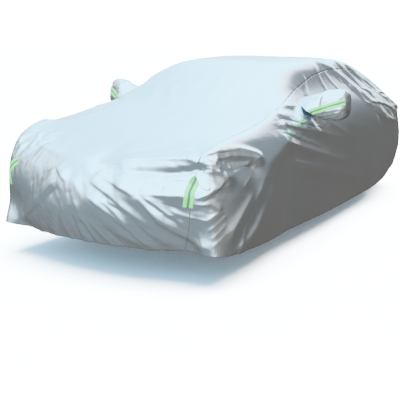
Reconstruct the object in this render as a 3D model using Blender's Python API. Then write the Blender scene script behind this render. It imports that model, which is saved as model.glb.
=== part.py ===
"""A fitted car cover in silver coated cloth, in the shape in which it hangs.

Three sewn sheets make the cover: a centre panel that runs from the front hem over the top to the rear
hem, and a side panel along each of its edges. Each side panel has a hole with a hollow pocket sewn over
it. Reflective strips with a dark centre stripe are sewn on the two front seams and on the two pockets.

Places in the tables are in metres, with X forward from the cover's middle, Y to its left and Z up from
the ground. The model's own origin is under the top of the roof, where the cover is held up.
"""

import math
from typing import NamedTuple

import bmesh
import bpy
import numpy as np
from mathutils import Vector
from mathutils.bvhtree import BVHTree

# Driving dimensions.
CLOTH = 0.0025
SEAM_GAP = 0.0005
TAPE = 0.0010
TAPE_LIFT = 0.0002
TAPE_CLEARANCE = 0.0006
STRIPE_LIFT = 0.0007
ROOF_X = -0.400
ROOF_Z = 1.424
ORIGIN = np.array([ROOF_X, 0.0, ROOF_Z - CLOTH])

# How the centre panel bows forward and back between its two seams.
BOW = 2.2
# Share of a side panel's first level that keeps the centre panel's slope at the seam.
SEAM_STIFFNESS = 0.9
# Passes that even out the normals along a seam, so that both edges there stay parallel.
SEAM_SMOOTHING = 2


class CentreRow(NamedTuple):
    """A section across the centre panel: its middle, its seam and how square it is between them."""

    name: str
    mid_x: float
    mid_z: float
    seam_x: float
    seam_y: float
    seam_z: float
    squareness: float


CENTRE_ROWS = (
    CentreRow("front hem", 2.330, 0.226, 2.215, 0.620, 0.240, 2.4),
    CentreRow("front belly", 2.425, 0.420, 2.290, 0.690, 0.420, 2.4),
    CentreRow("front brow", 2.420, 0.610, 2.310, 0.710, 0.620, 2.6),
    CentreRow("nose lip", 2.330, 0.760, 2.235, 0.720, 0.815, 2.6),
    CentreRow("nose", 2.080, 0.885, 2.050, 0.745, 0.912, 2.4),
    CentreRow("front deck", 1.700, 0.975, 1.690, 0.757, 0.962, 2.4),
    CentreRow("cowl", 1.230, 1.045, 1.180, 0.750, 1.052, 3.0),
    CentreRow("front slope foot", 0.890, 1.205, 0.800, 0.705, 1.145, 5.5),
    CentreRow("front slope", 0.480, 1.355, 0.400, 0.655, 1.222, 9.0),
    CentreRow("front slope top", 0.070, 1.404, 0.040, 0.620, 1.282, 10.0),
    CentreRow("roof", ROOF_X, ROOF_Z, -0.420, 0.600, 1.317, 9.0),
    CentreRow("roof rear", -0.950, 1.410, -0.950, 0.600, 1.300, 9.0),
    CentreRow("rear slope", -1.420, 1.345, -1.420, 0.625, 1.215, 7.0),
    CentreRow("rear deck front", -1.920, 1.200, -1.910, 0.665, 1.080, 5.5),
    CentreRow("rear deck", -2.280, 1.050, -2.250, 0.660, 0.965, 3.5),
    CentreRow("tail lip", -2.440, 0.930, -2.380, 0.655, 0.860, 2.6),
    CentreRow("rear belly", -2.500, 0.600, -2.430, 0.670, 0.580, 2.4),
    CentreRow("rear hem", -2.420, 0.250, -2.350, 0.630, 0.260, 2.4),
)
NOSE_LIP = 3
TAIL_LIP = 15


class SideRow(NamedTuple):
    """A section down a side panel: the centre panel's row at its top, and its four lower points."""

    name: str
    seam_row: float
    brow: tuple
    shoulder: tuple
    belly: tuple
    hem: tuple


SIDE_ROWS = (
    SideRow("nose corner", 3.95, (2.120, 0.825, 0.800), (2.175, 0.856, 0.620),
            (2.195, 0.864, 0.430), (2.240, 0.858, 0.245)),
    SideRow("before front arch", 4.55, (1.880, 0.890, 0.840), (1.900, 0.935, 0.670),
            (1.890, 0.945, 0.440), (1.860, 0.920, 0.215)),
    SideRow("front arch", 5.25, (1.520, 0.905, 0.890), (1.520, 0.950, 0.720),
            (1.500, 0.950, 0.450), (1.480, 0.915, 0.200)),
    SideRow("behind front arch", 6.00, (1.150, 0.880, 0.950), (1.120, 0.925, 0.800),
            (1.080, 0.925, 0.480), (1.050, 0.895, 0.190)),
    SideRow("pocket", 7.00, (0.720, 0.830, 1.020), (0.670, 0.910, 0.860),
            (0.640, 0.920, 0.500), (0.620, 0.890, 0.180)),
    SideRow("front middle", 8.65, (0.150, 0.780, 1.090), (0.130, 0.905, 0.900),
            (0.120, 0.920, 0.520), (0.120, 0.890, 0.172)),
    SideRow("middle", 10.0, (-0.420, 0.770, 1.130), (-0.420, 0.900, 0.920),
            (-0.420, 0.920, 0.520), (-0.420, 0.885, 0.172)),
    SideRow("before rear arch", 11.0, (-0.950, 0.770, 1.120), (-0.950, 0.900, 0.920),
            (-0.950, 0.925, 0.520), (-0.950, 0.885, 0.178)),
    SideRow("rear arch", 12.0, (-1.420, 0.790, 1.050), (-1.420, 0.895, 0.890),
            (-1.420, 0.925, 0.520), (-1.420, 0.885, 0.215)),
    SideRow("behind rear arch", 13.0, (-1.870, 0.790, 0.960), (-1.860, 0.860, 0.820),
            (-1.860, 0.875, 0.520), (-1.830, 0.840, 0.260)),
    SideRow("tail corner", 14.1, (-2.260, 0.750, 0.860), (-2.280, 0.780, 0.720),
            (-2.300, 0.795, 0.500), (-2.240, 0.765, 0.265)),
)


class HemDrop(NamedTuple):
    """A place where the hem hangs lower: its middle, its reach along the hem and how far it drops."""

    name: str
    mid_x: float
    mid_y: float
    reach: float
    drop: float


HEM_DROPS = (
    HemDrop("front right corner", 2.260, -0.600, 0.280, 0.022),
    HemDrop("front left corner", 2.190, 0.800, 0.160, 0.012),
)
# Height over which a drop fades out above the hem.
HEM_FADE = 0.35
HEM_Z = 0.24

# The centre panel's rows that a side panel's five levels meet on the front and the rear seam.
FRONT_SEAM_ROWS = (3.0, 2.45, 1.75, 0.95, 0.0)
REAR_SEAM_ROWS = (15.0, 15.45, 15.85, 16.35, 17.0)

# The pocket hole in a side panel, in its stations and levels, all on lines of the mesh.
HOLE_STATIONS = (5.0, 5.4)
HOLE_LEVELS = (0.5, 1.25)


class Steps(NamedTuple):
    """Mesh lines between two places along a panel."""

    start: float
    end: float
    count: int


STATION_STEPS = (
    Steps(0.0, 1.0, 3), Steps(1.0, 5.0, 16), Steps(5.0, 5.4, 4), Steps(5.4, 6.0, 2),
    Steps(6.0, 8.0, 8), Steps(8.0, 11.0, 9), Steps(11.0, 12.0, 2),
)
LEVEL_STEPS = (Steps(0.0, 2.0, 8), Steps(2.0, 4.0, 6))
ACROSS_COUNT = 24


class Fold(NamedTuple):
    """A soft ridge, or a trough where its heights are negative, along a path on the cover."""

    name: str
    path: tuple
    width: float
    start_height: float
    end_height: float


FOLDS = (
    # Front lip and nose.
    Fold("lip, left", ((2.31, 0.22, 0.770), (2.24, 0.70, 0.815), (2.12, 0.86, 0.720)), 0.050, 0.006, 0.020),
    Fold("under lip, left", ((2.37, 0.20, 0.700), (2.29, 0.72, 0.720)), 0.060, -0.010, -0.024),
    Fold("lip, right", ((2.33, -0.04, 0.763), (2.27, -0.45, 0.796)), 0.055, 0.008, 0.018),
    Fold("lip, right corner", ((2.16, -0.74, 0.850), (1.88, -0.80, 0.930)), 0.070, 0.004, 0.026),
    Fold("dip in the lip", ((2.24, 0.06, 0.830), (2.38, 0.12, 0.690)), 0.080, -0.010, -0.018),
    # Front fascia: the folds that fan out towards the hem.
    Fold("fan, far right", ((2.40, -0.25, 0.640), (2.23, -0.74, 0.245)), 0.055, 0.010, 0.026),
    Fold("fan, right trough", ((2.36, -0.40, 0.640), (2.24, -0.78, 0.380)), 0.085, -0.012, -0.030),
    Fold("fan, right of middle", ((2.40, -0.19, 0.670), (2.31, -0.34, 0.236)), 0.040, 0.006, 0.014),
    Fold("fan, middle", ((2.41, -0.09, 0.640), (2.33, -0.07, 0.236)), 0.040, 0.006, 0.014),
    Fold("fan, left of middle", ((2.43, 0.03, 0.540), (2.29, 0.40, 0.238)), 0.050, 0.012, 0.026),
    Fold("fan, left", ((2.40, 0.07, 0.680), (2.37, 0.46, 0.420), (2.30, 0.56, 0.250)), 0.050, 0.010, 0.022),
    Fold("fan, left trough", ((2.42, 0.16, 0.620), (2.29, 0.66, 0.300)), 0.050, -0.006, -0.020),
    Fold("fan, far left", ((2.41, 0.26, 0.63), (2.38, 0.49, 0.49), (2.24, 0.76, 0.27)), 0.050, 0.014, 0.026),
    Fold("shelf by the strip", ((2.40, 0.36, 0.600), (2.33, 0.66, 0.605)), 0.045, 0.012, 0.016),
    Fold("corner, left", ((2.20, 0.80, 0.640), (2.27, 0.79, 0.250)), 0.060, 0.006, 0.018),
    # Left side, at the front arch.
    Fold("front ridge", ((2.13, 0.78, 0.870), (1.95, 0.86, 0.865), (1.81, 0.92, 0.815)), 0.045, 0.012, 0.020),
    Fold("front hollow", ((2.10, 0.85, 0.780), (1.90, 0.92, 0.770)), 0.060, -0.018, -0.022),
    Fold("arch bulge", ((1.48, 0.93, 0.840), (1.70, 0.95, 0.750), (1.81, 0.95, 0.600)), 0.080, 0.016, 0.022),
    Fold("behind the arch", ((1.15, 0.93, 0.700), (1.20, 0.93, 0.350)), 0.200, -0.020, -0.026),
    Fold("long side crease", ((1.69, 0.96, 0.58), (1.86, 0.94, 0.37), (2.02, 0.92, 0.24)), 0.04, 0.016, 0.03),
    Fold("short side crease", ((1.95, 0.94, 0.530), (2.13, 0.90, 0.380)), 0.045, 0.010, 0.018),
    # Left side, below the pocket.
    Fold("under the pocket, high", ((1.23, 0.78, 1.037), (0.76, 0.88, 0.942)), 0.045, 0.016, 0.010),
    Fold("under the pocket, mid", ((1.24, 0.86, 0.967), (0.68, 0.91, 0.874)), 0.045, 0.014, 0.010),
    Fold("side, upper", ((1.36, 0.92, 0.869), (-0.06, 0.92, 0.545)), 0.060, 0.020, 0.008),
    Fold("side, lower", ((1.13, 0.93, 0.660), (-0.45, 0.91, 0.372)), 0.060, 0.014, 0.006),
    # Left side, under the roof edge, and rear quarter.
    Fold("streak, first", ((-0.24, 0.52, 1.39), (-0.53, 0.62, 1.29), (-0.96, 0.92, 0.8)), 0.05, 0.014, 0.02),
    Fold("streak, second", ((-0.72, 0.54, 1.38), (-0.98, 0.71, 1.17), (-1.1, 0.86, 1.0)), 0.05, 0.016, 0.01),
    Fold("streak, third", ((-0.96, 0.57, 1.340), (-1.69, 0.77, 1.020)), 0.050, 0.018, 0.016),
    Fold("streak, low", ((-0.61, 0.75, 1.152), (-1.22, 0.91, 0.850)), 0.050, 0.012, 0.018),
    Fold("rear quarter", ((-1.55, 0.80, 1.020), (-2.15, 0.78, 0.900)), 0.055, 0.016, 0.022),
    # Right side, which hangs more plainly.
    Fold("right shoulder", ((1.66, -0.76, 0.970), (1.00, -0.74, 1.070)), 0.130, -0.010, -0.030),
    Fold("right slope edge", ((0.62, -0.62, 1.250), (0.30, -0.60, 1.340)), 0.090, 0.020, 0.012),
    Fold("right side crease", ((1.72, -0.95, 0.600), (2.02, -0.91, 0.240)), 0.050, 0.012, 0.026),
    Fold("right side, upper", ((1.30, -0.92, 0.850), (0.10, -0.92, 0.560)), 0.060, 0.016, 0.008),
    Fold("right side, lower", ((0.20, -0.92, 0.700), (-0.95, -0.92, 0.380)), 0.065, 0.008, 0.016),
    Fold("right streak", ((-0.55, -0.60, 1.300), (-1.05, -0.88, 0.900)), 0.055, 0.014, 0.018),
    Fold("right rear quarter", ((-1.50, -0.78, 1.050), (-2.10, -0.80, 0.820)), 0.060, 0.016, 0.018),
    # Rear fascia.
    Fold("rear, left", ((-2.46, 0.20, 0.780), (-2.38, 0.52, 0.260)), 0.055, 0.010, 0.022),
    Fold("rear, right", ((-2.46, -0.18, 0.780), (-2.38, -0.50, 0.260)), 0.055, 0.010, 0.020),
    Fold("rear, under the lid", ((-2.47, -0.45, 0.820), (-2.47, 0.45, 0.820)), 0.060, -0.012, -0.012),
)


class PocketRing(NamedTuple):
    """A ring of a pocket: how far out it is, its middle and its half sizes."""

    reach_y: float
    mid_x: float
    mid_z: float
    half_depth: float
    half_height: float


POCKET_RINGS = (
    PocketRing(0.905, 0.640, 1.080, 0.136, 0.092),
    PocketRing(0.940, 0.624, 1.083, 0.130, 0.106),
    PocketRing(0.986, 0.608, 1.086, 0.120, 0.114),
    PocketRing(1.045, 0.592, 1.089, 0.108, 0.115),
    PocketRing(1.084, 0.584, 1.091, 0.094, 0.102),
    PocketRing(1.108, 0.580, 1.091, 0.060, 0.068),
)
# A pocket swells just outside its hole: the swelling's middle, half sizes and height above it.
FOOT_X = 0.632
FOOT_DEPTH = 0.150
FOOT_HEIGHT = 0.084
FOOT_RISE = 0.024
# Its front leans back above its middle.
POCKET_LEAN = 0.40
POCKET_ROUNDNESS = 3.4
POCKET_TIP_Y = 1.117
# The right pocket is pushed in, so its rings stand at a share of their reach from the root.
POCKET_ROOT_Y = 0.860
RIGHT_POCKET_SHARE = 0.84


class Strip(NamedTuple):
    """A reflective strip: the piece it lies on, its width and the path of its middle."""

    place: str
    width: float
    path: tuple


STRIPS = (
    Strip("front_left", 0.062, ((2.30, 0.720, 0.740), (2.32, 0.702, 0.640), (2.31, 0.686, 0.545))),
    Strip("front_right", 0.056, ((2.29, -0.665, 0.705), (2.27, -0.745, 0.640), (2.27, -0.765, 0.530))),
    Strip("mirror_left", 0.050,
          ((0.768, 0.884, 1.040), (0.755, 0.925, 1.053), (0.71, 1.000, 1.080), (0.655, 1.084, 1.109))),
    Strip("mirror_right", 0.050,
          ((0.768, -0.880, 1.040), (0.755, -0.915, 1.053), (0.71, -0.978, 1.080), (0.655, -1.048, 1.109))),
)
STRIPE_SHARE = 0.26
STRIP_ROWS = 16
STRIP_COLUMNS = 3


class Finish(NamedTuple):
    """Base colour, metallic value and roughness of a piece."""

    colour: tuple
    metallic: float
    roughness: float


SILVER_CLOTH = Finish((0.66, 0.70, 0.74, 1.0), 0.55, 0.42)
GREEN_TAPE = Finish((0.30, 0.88, 0.12, 1.0), 0.0, 0.40)
DARK_TAPE = Finish((0.14, 0.16, 0.15, 1.0), 0.2, 0.35)


def clear_scene():
    """Remove whatever the scene holds."""
    for obj in list(bpy.data.objects):
        bpy.data.objects.remove(obj, do_unlink=True)


def unit(vectors):
    """Vectors of length one along the given ones."""
    return vectors / np.linalg.norm(vectors, axis=-1, keepdims=True)


def spline(knots, values, places, start_slope=None, end_slope=None):
    """A cubic spline through values at knots, read at places. An end with no slope runs out straight."""
    knots = np.asarray(knots, float)
    values = np.asarray(values, float)
    places = np.asarray(places, float)
    count = len(knots)
    gaps = np.diff(knots)
    matrix = np.zeros((count, count))
    target = np.zeros_like(values)
    for i in range(1, count - 1):
        matrix[i, i - 1:i + 2] = gaps[i - 1], 2 * (gaps[i - 1] + gaps[i]), gaps[i]
        target[i] = 6 * ((values[i + 1] - values[i]) / gaps[i] - (values[i] - values[i - 1]) / gaps[i - 1])
    matrix[0, 0] = matrix[-1, -1] = 1
    if start_slope is not None:
        matrix[0, :2] = 2 * gaps[0], gaps[0]
        target[0] = 6 * ((values[1] - values[0]) / gaps[0] - start_slope)
    if end_slope is not None:
        matrix[-1, -2:] = gaps[-1], 2 * gaps[-1]
        target[-1] = 6 * (end_slope - (values[-1] - values[-2]) / gaps[-1])
    bend = np.linalg.solve(matrix, target.reshape(count, -1)).reshape(values.shape)
    i = np.clip(np.searchsorted(knots, places) - 1, 0, count - 2)
    wide = (slice(None),) + (None,) * (values.ndim - 1)
    before = (places - knots[i])[wide]
    after = (knots[i + 1] - places)[wide]
    gap = gaps[i][wide]
    curve = (bend[i] * after**3 + bend[i + 1] * before**3) / (6 * gap)
    curve += (values[i] / gap - bend[i] * gap / 6) * after
    curve += (values[i + 1] / gap - bend[i + 1] * gap / 6) * before
    return curve


def lines_of(steps):
    """The places of the mesh lines that a table of steps gives."""
    places = [steps[0].start]
    for step in steps:
        places.extend(np.linspace(step.start, step.end, step.count + 1)[1:])
    return np.array(places)


def centre_sections(rows):
    """The columns of the centre panel's table, read at any rows."""
    table = np.array([row[1:] for row in CENTRE_ROWS])
    return spline(np.arange(len(table)), table, np.atleast_1d(rows))


def centre_points(rows, across):
    """Points of the centre panel: rows along the cover, across from -1 on the right seam to 1 on the left."""
    sections = centre_sections(rows)
    mid_x, mid_z, seam_x, seam_y, seam_z, squareness = (sections[:, i, None] for i in range(6))
    share = np.abs(np.asarray(across, float))[None, :]
    x = mid_x + (seam_x - mid_x) * share**BOW
    y = seam_y * np.asarray(across, float)[None, :]
    z = mid_z + (seam_z - mid_z) * share**squareness
    return np.stack([x, y, z], -1)


def seam_points(rows):
    """Points of the left seam."""
    return centre_points(rows, [1.0])[:, 0]


def seam_slopes(rows):
    """The way in which the centre panel reaches its left seam."""
    mid_x, mid_z, seam_x, seam_y, seam_z, squareness = centre_sections(rows).T
    return unit(np.stack([BOW * (seam_x - mid_x), seam_y, squareness * (seam_z - mid_z)], -1))


def side_points(stations, levels):
    """Points of the left side panel: stations along it, levels from 0 on the seam to 4 on the hem."""
    knots = np.arange(len(SIDE_ROWS) + 2)
    seam_rows = [NOSE_LIP] + [row.seam_row for row in SIDE_ROWS] + [TAIL_LIP]
    ends = np.array([knots[0], knots[-1]], float)
    wanted = np.concatenate([ends, stations])
    rows = spline(knots, seam_rows, wanted)
    rails = [seam_points(rows)]
    for level in range(1, 5):
        middle = [row[1 + level] for row in SIDE_ROWS]
        front = seam_points(FRONT_SEAM_ROWS[level])
        rear = seam_points(REAR_SEAM_ROWS[level])
        points = np.concatenate([front, middle, rear])
        start = seam_slopes(FRONT_SEAM_ROWS[level])[0] * np.linalg.norm(points[1] - points[0])
        end = -seam_slopes(REAR_SEAM_ROWS[level])[0] * np.linalg.norm(points[-1] - points[-2])
        rails.append(spline(knots, points, wanted, start, end))
    rails = np.array(rails)
    leaving = seam_slopes(rows) * SEAM_STIFFNESS * np.linalg.norm(rails[1] - rails[0], axis=-1, keepdims=True)
    columns = np.array([spline(np.arange(5), rails[:, i], levels, leaving[i]) for i in range(len(wanted))])
    points = columns[2:]
    # The two end columns are drawn onto the front and the rear seam, and the next ones follow them.
    for end, seam_table in enumerate((FRONT_SEAM_ROWS, REAR_SEAM_ROWS)):
        edge = seam_points(spline(np.arange(5), seam_table, levels))
        share = np.clip(1 - np.abs(stations - ends[end]), 0, 1) ** 2
        points = points + share[:, None, None] * (edge - columns[end])
    return points


def seam_of(side):
    """A side panel's edge along the seam, from the front hem, over the top, to the rear hem."""
    return np.concatenate([side[0, ::-1], side[1:, 0], side[-1, 1:]])


def set_seam(side, values):
    """Write values, in the order of seam_of, into a side panel's edge."""
    levels = side.shape[1]
    side[0, ::-1] = values[:levels]
    side[1:, 0] = values[levels:levels + side.shape[0] - 1]
    side[-1, 1:] = values[-(levels - 1):]


def grid_normals(points):
    """Outward normals of a grid of points. The cover's middle is about the origin of X and Y."""
    normals = unit(np.cross(np.gradient(points, axis=0), np.gradient(points, axis=1)))
    outward = points - np.array([0.0, 0.0, 0.4])
    return normals if (normals * outward).sum() > 0 else -normals


def shared_normals(centre, left, right):
    """Normals of the three panels, with one normal for both panels at each point of a seam."""
    normals = [grid_normals(points) for points in (centre, left, right)]
    for column, side in ((-1, normals[1]), (0, normals[2])):
        both = unit(normals[0][:, column] + seam_of(side))
        for _ in range(SEAM_SMOOTHING):
            both[1:-1] = unit(both[:-2] + 2 * both[1:-1] + both[2:])
        normals[0][:, column] = both
        set_seam(side, both)
    return normals


def hem_drops(points):
    """How far each point hangs below the even hem, from the table of drops."""
    drops = np.zeros(points.shape[:-1])
    lowness = np.clip(1 - (points[..., 2] - HEM_Z) / HEM_FADE, 0, 1) ** 2
    for row in HEM_DROPS:
        distance = np.hypot(points[..., 0] - row.mid_x, points[..., 1] - row.mid_y)
        drops += row.drop * lowness * np.exp(-((distance / row.reach) ** 2))
    return drops


def fold_heights(points):
    """How far each point stands off the smooth form, from the table of folds."""
    heights = np.zeros(points.shape[:-1])
    for fold in FOLDS:
        path = np.array(fold.path)
        runs = np.linalg.norm(np.diff(path, axis=0), axis=1)
        nearest = np.full(heights.shape, np.inf)
        along = np.zeros(heights.shape)
        for i, run in enumerate(runs):
            way = (path[i + 1] - path[i]) / run
            reach = np.clip((points - path[i]) @ way, 0, run)
            distance = np.linalg.norm(points - path[i] - reach[..., None] * way, axis=-1)
            closer = distance < nearest
            nearest = np.where(closer, distance, nearest)
            along = np.where(closer, (runs[:i].sum() + reach) / runs.sum(), along)
        height = fold.start_height + (fold.end_height - fold.start_height) * along
        heights += height * np.exp(-((nearest / fold.width) ** 2))
    return heights


def panel_points():
    """The outer points and inward offsets of the centre, left and right panels, a seam gap apart."""
    stations = lines_of(STATION_STEPS)
    levels = lines_of(LEVEL_STEPS)
    across = np.linspace(-1, 1, ACROSS_COUNT + 1)
    seam_knots = [NOSE_LIP] + [row.seam_row for row in SIDE_ROWS] + [TAIL_LIP]
    rows = np.concatenate([
        spline(np.arange(5), FRONT_SEAM_ROWS, levels)[::-1],
        spline(np.arange(len(seam_knots)), seam_knots, stations)[1:],
        spline(np.arange(5), REAR_SEAM_ROWS, levels)[1:],
    ])
    left = side_points(stations, levels)
    panels = [centre_points(rows, across), left, left * (1, -1, 1)]
    panels = [points - hem_drops(points)[..., None] * (0, 0, 1) for points in panels]
    normals = shared_normals(*panels)
    panels = [points + fold_heights(points)[..., None] * normal for points, normal in zip(panels, normals)]
    normals = shared_normals(*panels)
    centre, left, right = panels
    for column, inner, side in ((-1, -2, left), (0, 1, right)):
        seam = centre[:, column].copy()
        inward = unit(np.cross(np.gradient(seam, axis=0), normals[0][:, column]))
        if (inward * (centre[:, inner] - seam)).sum() < 0:
            inward = -inward
        centre[:, column] = seam + inward * SEAM_GAP / 2
        set_seam(side, seam - inward * SEAM_GAP / 2)
    offsets = [-CLOTH * normal for normal in normals]
    return panels, offsets, stations, levels


def hole_of(stations, levels):
    """First and last mesh lines of the pocket hole, along and down a side panel."""
    along = [int(np.argmin(np.abs(stations - place))) for place in HOLE_STATIONS]
    down = [int(np.argmin(np.abs(levels - place))) for place in HOLE_LEVELS]
    return along, down


def loop_of(points, along, down):
    """The points round the pocket hole, in order."""
    (a, b), (c, d) = along, down
    return np.concatenate([points[a:b, c], points[b, c:d], points[b:a:-1, d], points[a, d:c:-1]])


def material(name, finish):
    """A Principled material with a finish's values."""
    made = bpy.data.materials.new(name)
    made.use_nodes = True
    shader = made.node_tree.nodes["Principled BSDF"]
    shader.inputs["Base Color"].default_value = finish.colour
    shader.inputs["Metallic"].default_value = finish.metallic
    shader.inputs["Roughness"].default_value = finish.roughness
    return made


def sheet(name, outer, inner, finish, collection, hole=None):
    """A closed sheet between an outer and an inner grid of points, as an object of the collection."""
    rows, columns = outer.shape[:2]
    outer = outer.reshape(-1, 3) - ORIGIN
    inner = inner.reshape(-1, 3) - ORIGIN
    mesh = bmesh.new()
    bmesh.ops.create_grid(mesh, x_segments=columns - 1, y_segments=rows - 1, size=1.0)
    place = mesh.verts.layers.int.new("place")
    for index, vertex in enumerate(mesh.verts):
        vertex[place] = index
        vertex.co = outer[index]
    if hole:
        (a, b), (c, d) = hole
        inside = []
        for face in mesh.faces:
            spots = [divmod(vertex[place], columns) for vertex in face.verts]
            if all(a <= row <= b and c <= column <= d for row, column in spots):
                inside.append(face)
        bmesh.ops.delete(mesh, geom=inside, context="FACES")
    bmesh.ops.remove_doubles(mesh, verts=mesh.verts[:], dist=1e-6)
    made = bmesh.ops.extrude_face_region(mesh, geom=mesh.faces[:], use_keep_orig=True)
    for element in made["geom"]:
        if isinstance(element, bmesh.types.BMVert):
            element.co = inner[element[place]]
    bmesh.ops.recalc_face_normals(mesh, faces=mesh.faces[:])
    mesh.verts.layers.int.remove(place)
    data = bpy.data.meshes.new(name)
    mesh.to_mesh(data)
    mesh.free()
    data.shade_smooth()
    data.set_sharp_from_angle(angle=math.radians(50))
    data.materials.append(material(name, finish))
    obj = bpy.data.objects.new(name, data)
    collection.objects.link(obj)
    return obj


def pocket_points(loop, side):
    """Outer points and inward offsets of a pocket whose root stands in a hole's loop."""
    middle = loop.mean(axis=0)
    root = loop + unit(middle - loop) * SEAM_GAP * 1.5
    share = 1.0 if side > 0 else RIGHT_POCKET_SHARE
    spread = (loop - middle)[:, [0, 2]]
    spread = spread / np.abs(spread).max(axis=0)
    length = (np.abs(spread) ** POCKET_ROUNDNESS).sum(axis=1) ** (1 / POCKET_ROUNDNESS)
    spread = spread / length[:, None]
    turns = np.cross(loop - middle, np.roll(loop, -1, axis=0) - middle).sum(axis=0)
    way_out = unit(turns) * (1 if turns[1] * side > 0 else -1)
    lean = 1 - POCKET_LEAN * np.clip((spread[:, 1] + 0.3) / 1.3, 0, 1) * (spread[:, 0] > 0)
    foot = np.outer(spread[:, 1] * FOOT_HEIGHT, np.cross((side, 0, 0), way_out))
    foot += middle + way_out * FOOT_RISE
    foot[:, 0] = FOOT_X + FOOT_DEPTH * spread[:, 0] * lean
    rings = [root, foot]
    for ring in POCKET_RINGS:
        x = ring.mid_x + ring.half_depth * spread[:, 0] * lean
        z = ring.mid_z + ring.half_height * spread[:, 1]
        reach = POCKET_ROOT_Y + (ring.reach_y - POCKET_ROOT_Y) * share
        rings.append(np.stack([x, np.full_like(x, side * reach), z], -1))
    last = POCKET_RINGS[-1]
    tip = POCKET_ROOT_Y + (POCKET_TIP_Y - POCKET_ROOT_Y) * share
    rings.append(np.tile([last.mid_x, side * tip, last.mid_z], (len(loop), 1)))
    points = np.array(rings)
    around = np.roll(points, -1, axis=1) - np.roll(points, 1, axis=1)
    normals = np.cross(np.gradient(points, axis=0), around)
    normals[-1] = (0, side, 0)
    normals = unit(normals)
    outward = points[4] - points[4].mean(axis=0)
    if (normals[4] * outward).sum() < 0:
        normals[:-1] *= -1
    closed = np.concatenate([points, points[:, :1]], axis=1)
    offsets = -CLOTH * np.concatenate([normals, normals[:, :1]], axis=1)
    return closed, offsets


def skin_tree(pieces):
    """A search tree over the faces of the given pieces."""
    points = []
    faces = []
    for piece in pieces:
        piece.data.calc_loop_triangles()
        first = len(points)
        points.extend(vertex.co + Vector(ORIGIN) for vertex in piece.data.vertices)
        faces.extend([first + corner for corner in face.vertices] for face in piece.data.loop_triangles)
    return BVHTree.FromPolygons(points, faces)


def grid_tree(grid):
    """A search tree over the cells of a grid of points."""
    rows, columns = grid.shape[:2]
    points = [Vector(point) for point in grid.reshape(-1, 3)]
    faces = []
    for row in range(rows - 1):
        for corner in range(row * columns, row * columns + columns - 1):
            faces.append((corner, corner + 1, corner + columns + 1, corner + columns))
    return BVHTree.FromPolygons(points, faces)


def strip_points(strip, tree, middle, lift):
    """The lower points and upward directions of a strip that lies on a skin, lift above it."""
    path = np.array(strip.path)
    along = spline(np.arange(len(path)), path, np.linspace(0, len(path) - 1, STRIP_ROWS + 1))
    slopes = unit(np.gradient(along, axis=0))
    rows = []
    ups = []
    for point, slope in zip(along, slopes):
        spot, normal, _, _ = tree.find_nearest(Vector(point))
        up = np.array(normal)
        up = up if up @ (np.array(spot) - middle) > 0 else -up
        across = unit(np.cross(slope, up))
        row = []
        for share in np.linspace(-0.5, 0.5, STRIP_COLUMNS + 1):
            near = tree.find_nearest(Vector(np.array(spot) + across * share * strip.width))[0]
            row.append(np.array(near) + up * lift)
        rows.append(row)
        ups.append(np.tile(up, (STRIP_COLUMNS + 1, 1)))
    return np.array(rows), np.array(ups)


def seated_strip(strip, tree, middle):
    """A strip whose rows are raised in small steps until its flat faces clear the skin's ridges."""
    low, up = strip_points(strip, tree, middle, TAPE_LIFT)
    touching = grid_tree(low).overlap(tree)
    while touching:
        rows = {face // STRIP_COLUMNS for face, _ in touching}
        rows = sorted(rows | {row + 1 for row in rows})
        low[rows] += up[rows] * TAPE_LIFT
        touching = grid_tree(low).overlap(tree)
    return low + up * TAPE_CLEARANCE, up


def stripe_points(low, up):
    """The lower points of the narrow stripe on a strip, from the strip's own rows."""
    shares = np.linspace(-0.5, 0.5, STRIP_COLUMNS + 1)
    wanted = np.array([-STRIPE_SHARE, STRIPE_SHARE]) / 2
    axes = [[np.interp(wanted, shares, row[:, axis]) for row in low] for axis in range(3)]
    return np.stack(axes, -1) + up[:, :2] * (TAPE + STRIPE_LIFT)


def build():
    """Make every piece of the cover."""
    clear_scene()
    collection = bpy.data.collections.new("car_cover")
    bpy.context.scene.collection.children.link(collection)
    panels, offsets, stations, levels = panel_points()
    hole = hole_of(stations, levels)
    centre = sheet("centre_panel", panels[0], panels[0] + offsets[0], SILVER_CLOTH, collection)
    skins = {"front": [centre]}
    middles = {"front": np.array([0.0, 0.0, 0.4])}
    for index, (name, side) in enumerate((("left", 1), ("right", -1)), start=1):
        points = panels[index]
        panel = sheet(f"side_panel_{name}", points, points + offsets[index], SILVER_CLOTH, collection, hole)
        skins["front"].append(panel)
        outer, inward = pocket_points(loop_of(points, *hole), side)
        pocket = sheet(f"mirror_pocket_{name}", outer, outer + inward, SILVER_CLOTH, collection)
        skins[f"mirror_{name}"] = [pocket]
        middles[f"mirror_{name}"] = outer.reshape(-1, 3).mean(axis=0)
    for strip in STRIPS:
        key = "front" if strip.place.startswith("front") else strip.place
        low, up = seated_strip(strip, skin_tree(skins[key]), middles[key])
        sheet(f"strip_{strip.place}", low + up * TAPE, low, GREEN_TAPE, collection)
        low = stripe_points(low, up)
        sheet(f"stripe_{strip.place}", low + up[:, :2] * TAPE, low, DARK_TAPE, collection)


if __name__ == "__main__":
    build()
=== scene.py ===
"""Looks of a fitted car cover: silver coated cloth panels, hollow pockets and reflective strips.

The form comes from the same tables as the solids, read on a finer mesh, with the cloth's smaller folds,
crinkles, puckered seams and gathered hem on it. Places in the tables have X forward from the cover's
middle, Y to its left and Z up from the ground, in metres, and in the tables of folds in millimetres.
The frame's origin is under the roof.
"""

import logging
import math
from dataclasses import dataclass, field
from enum import Enum
from typing import Any, NamedTuple, Sequence

import bmesh
import bpy
import numpy as np
from mathutils import Matrix, Vector, noise
from mathutils.bvhtree import BVHTree


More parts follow.
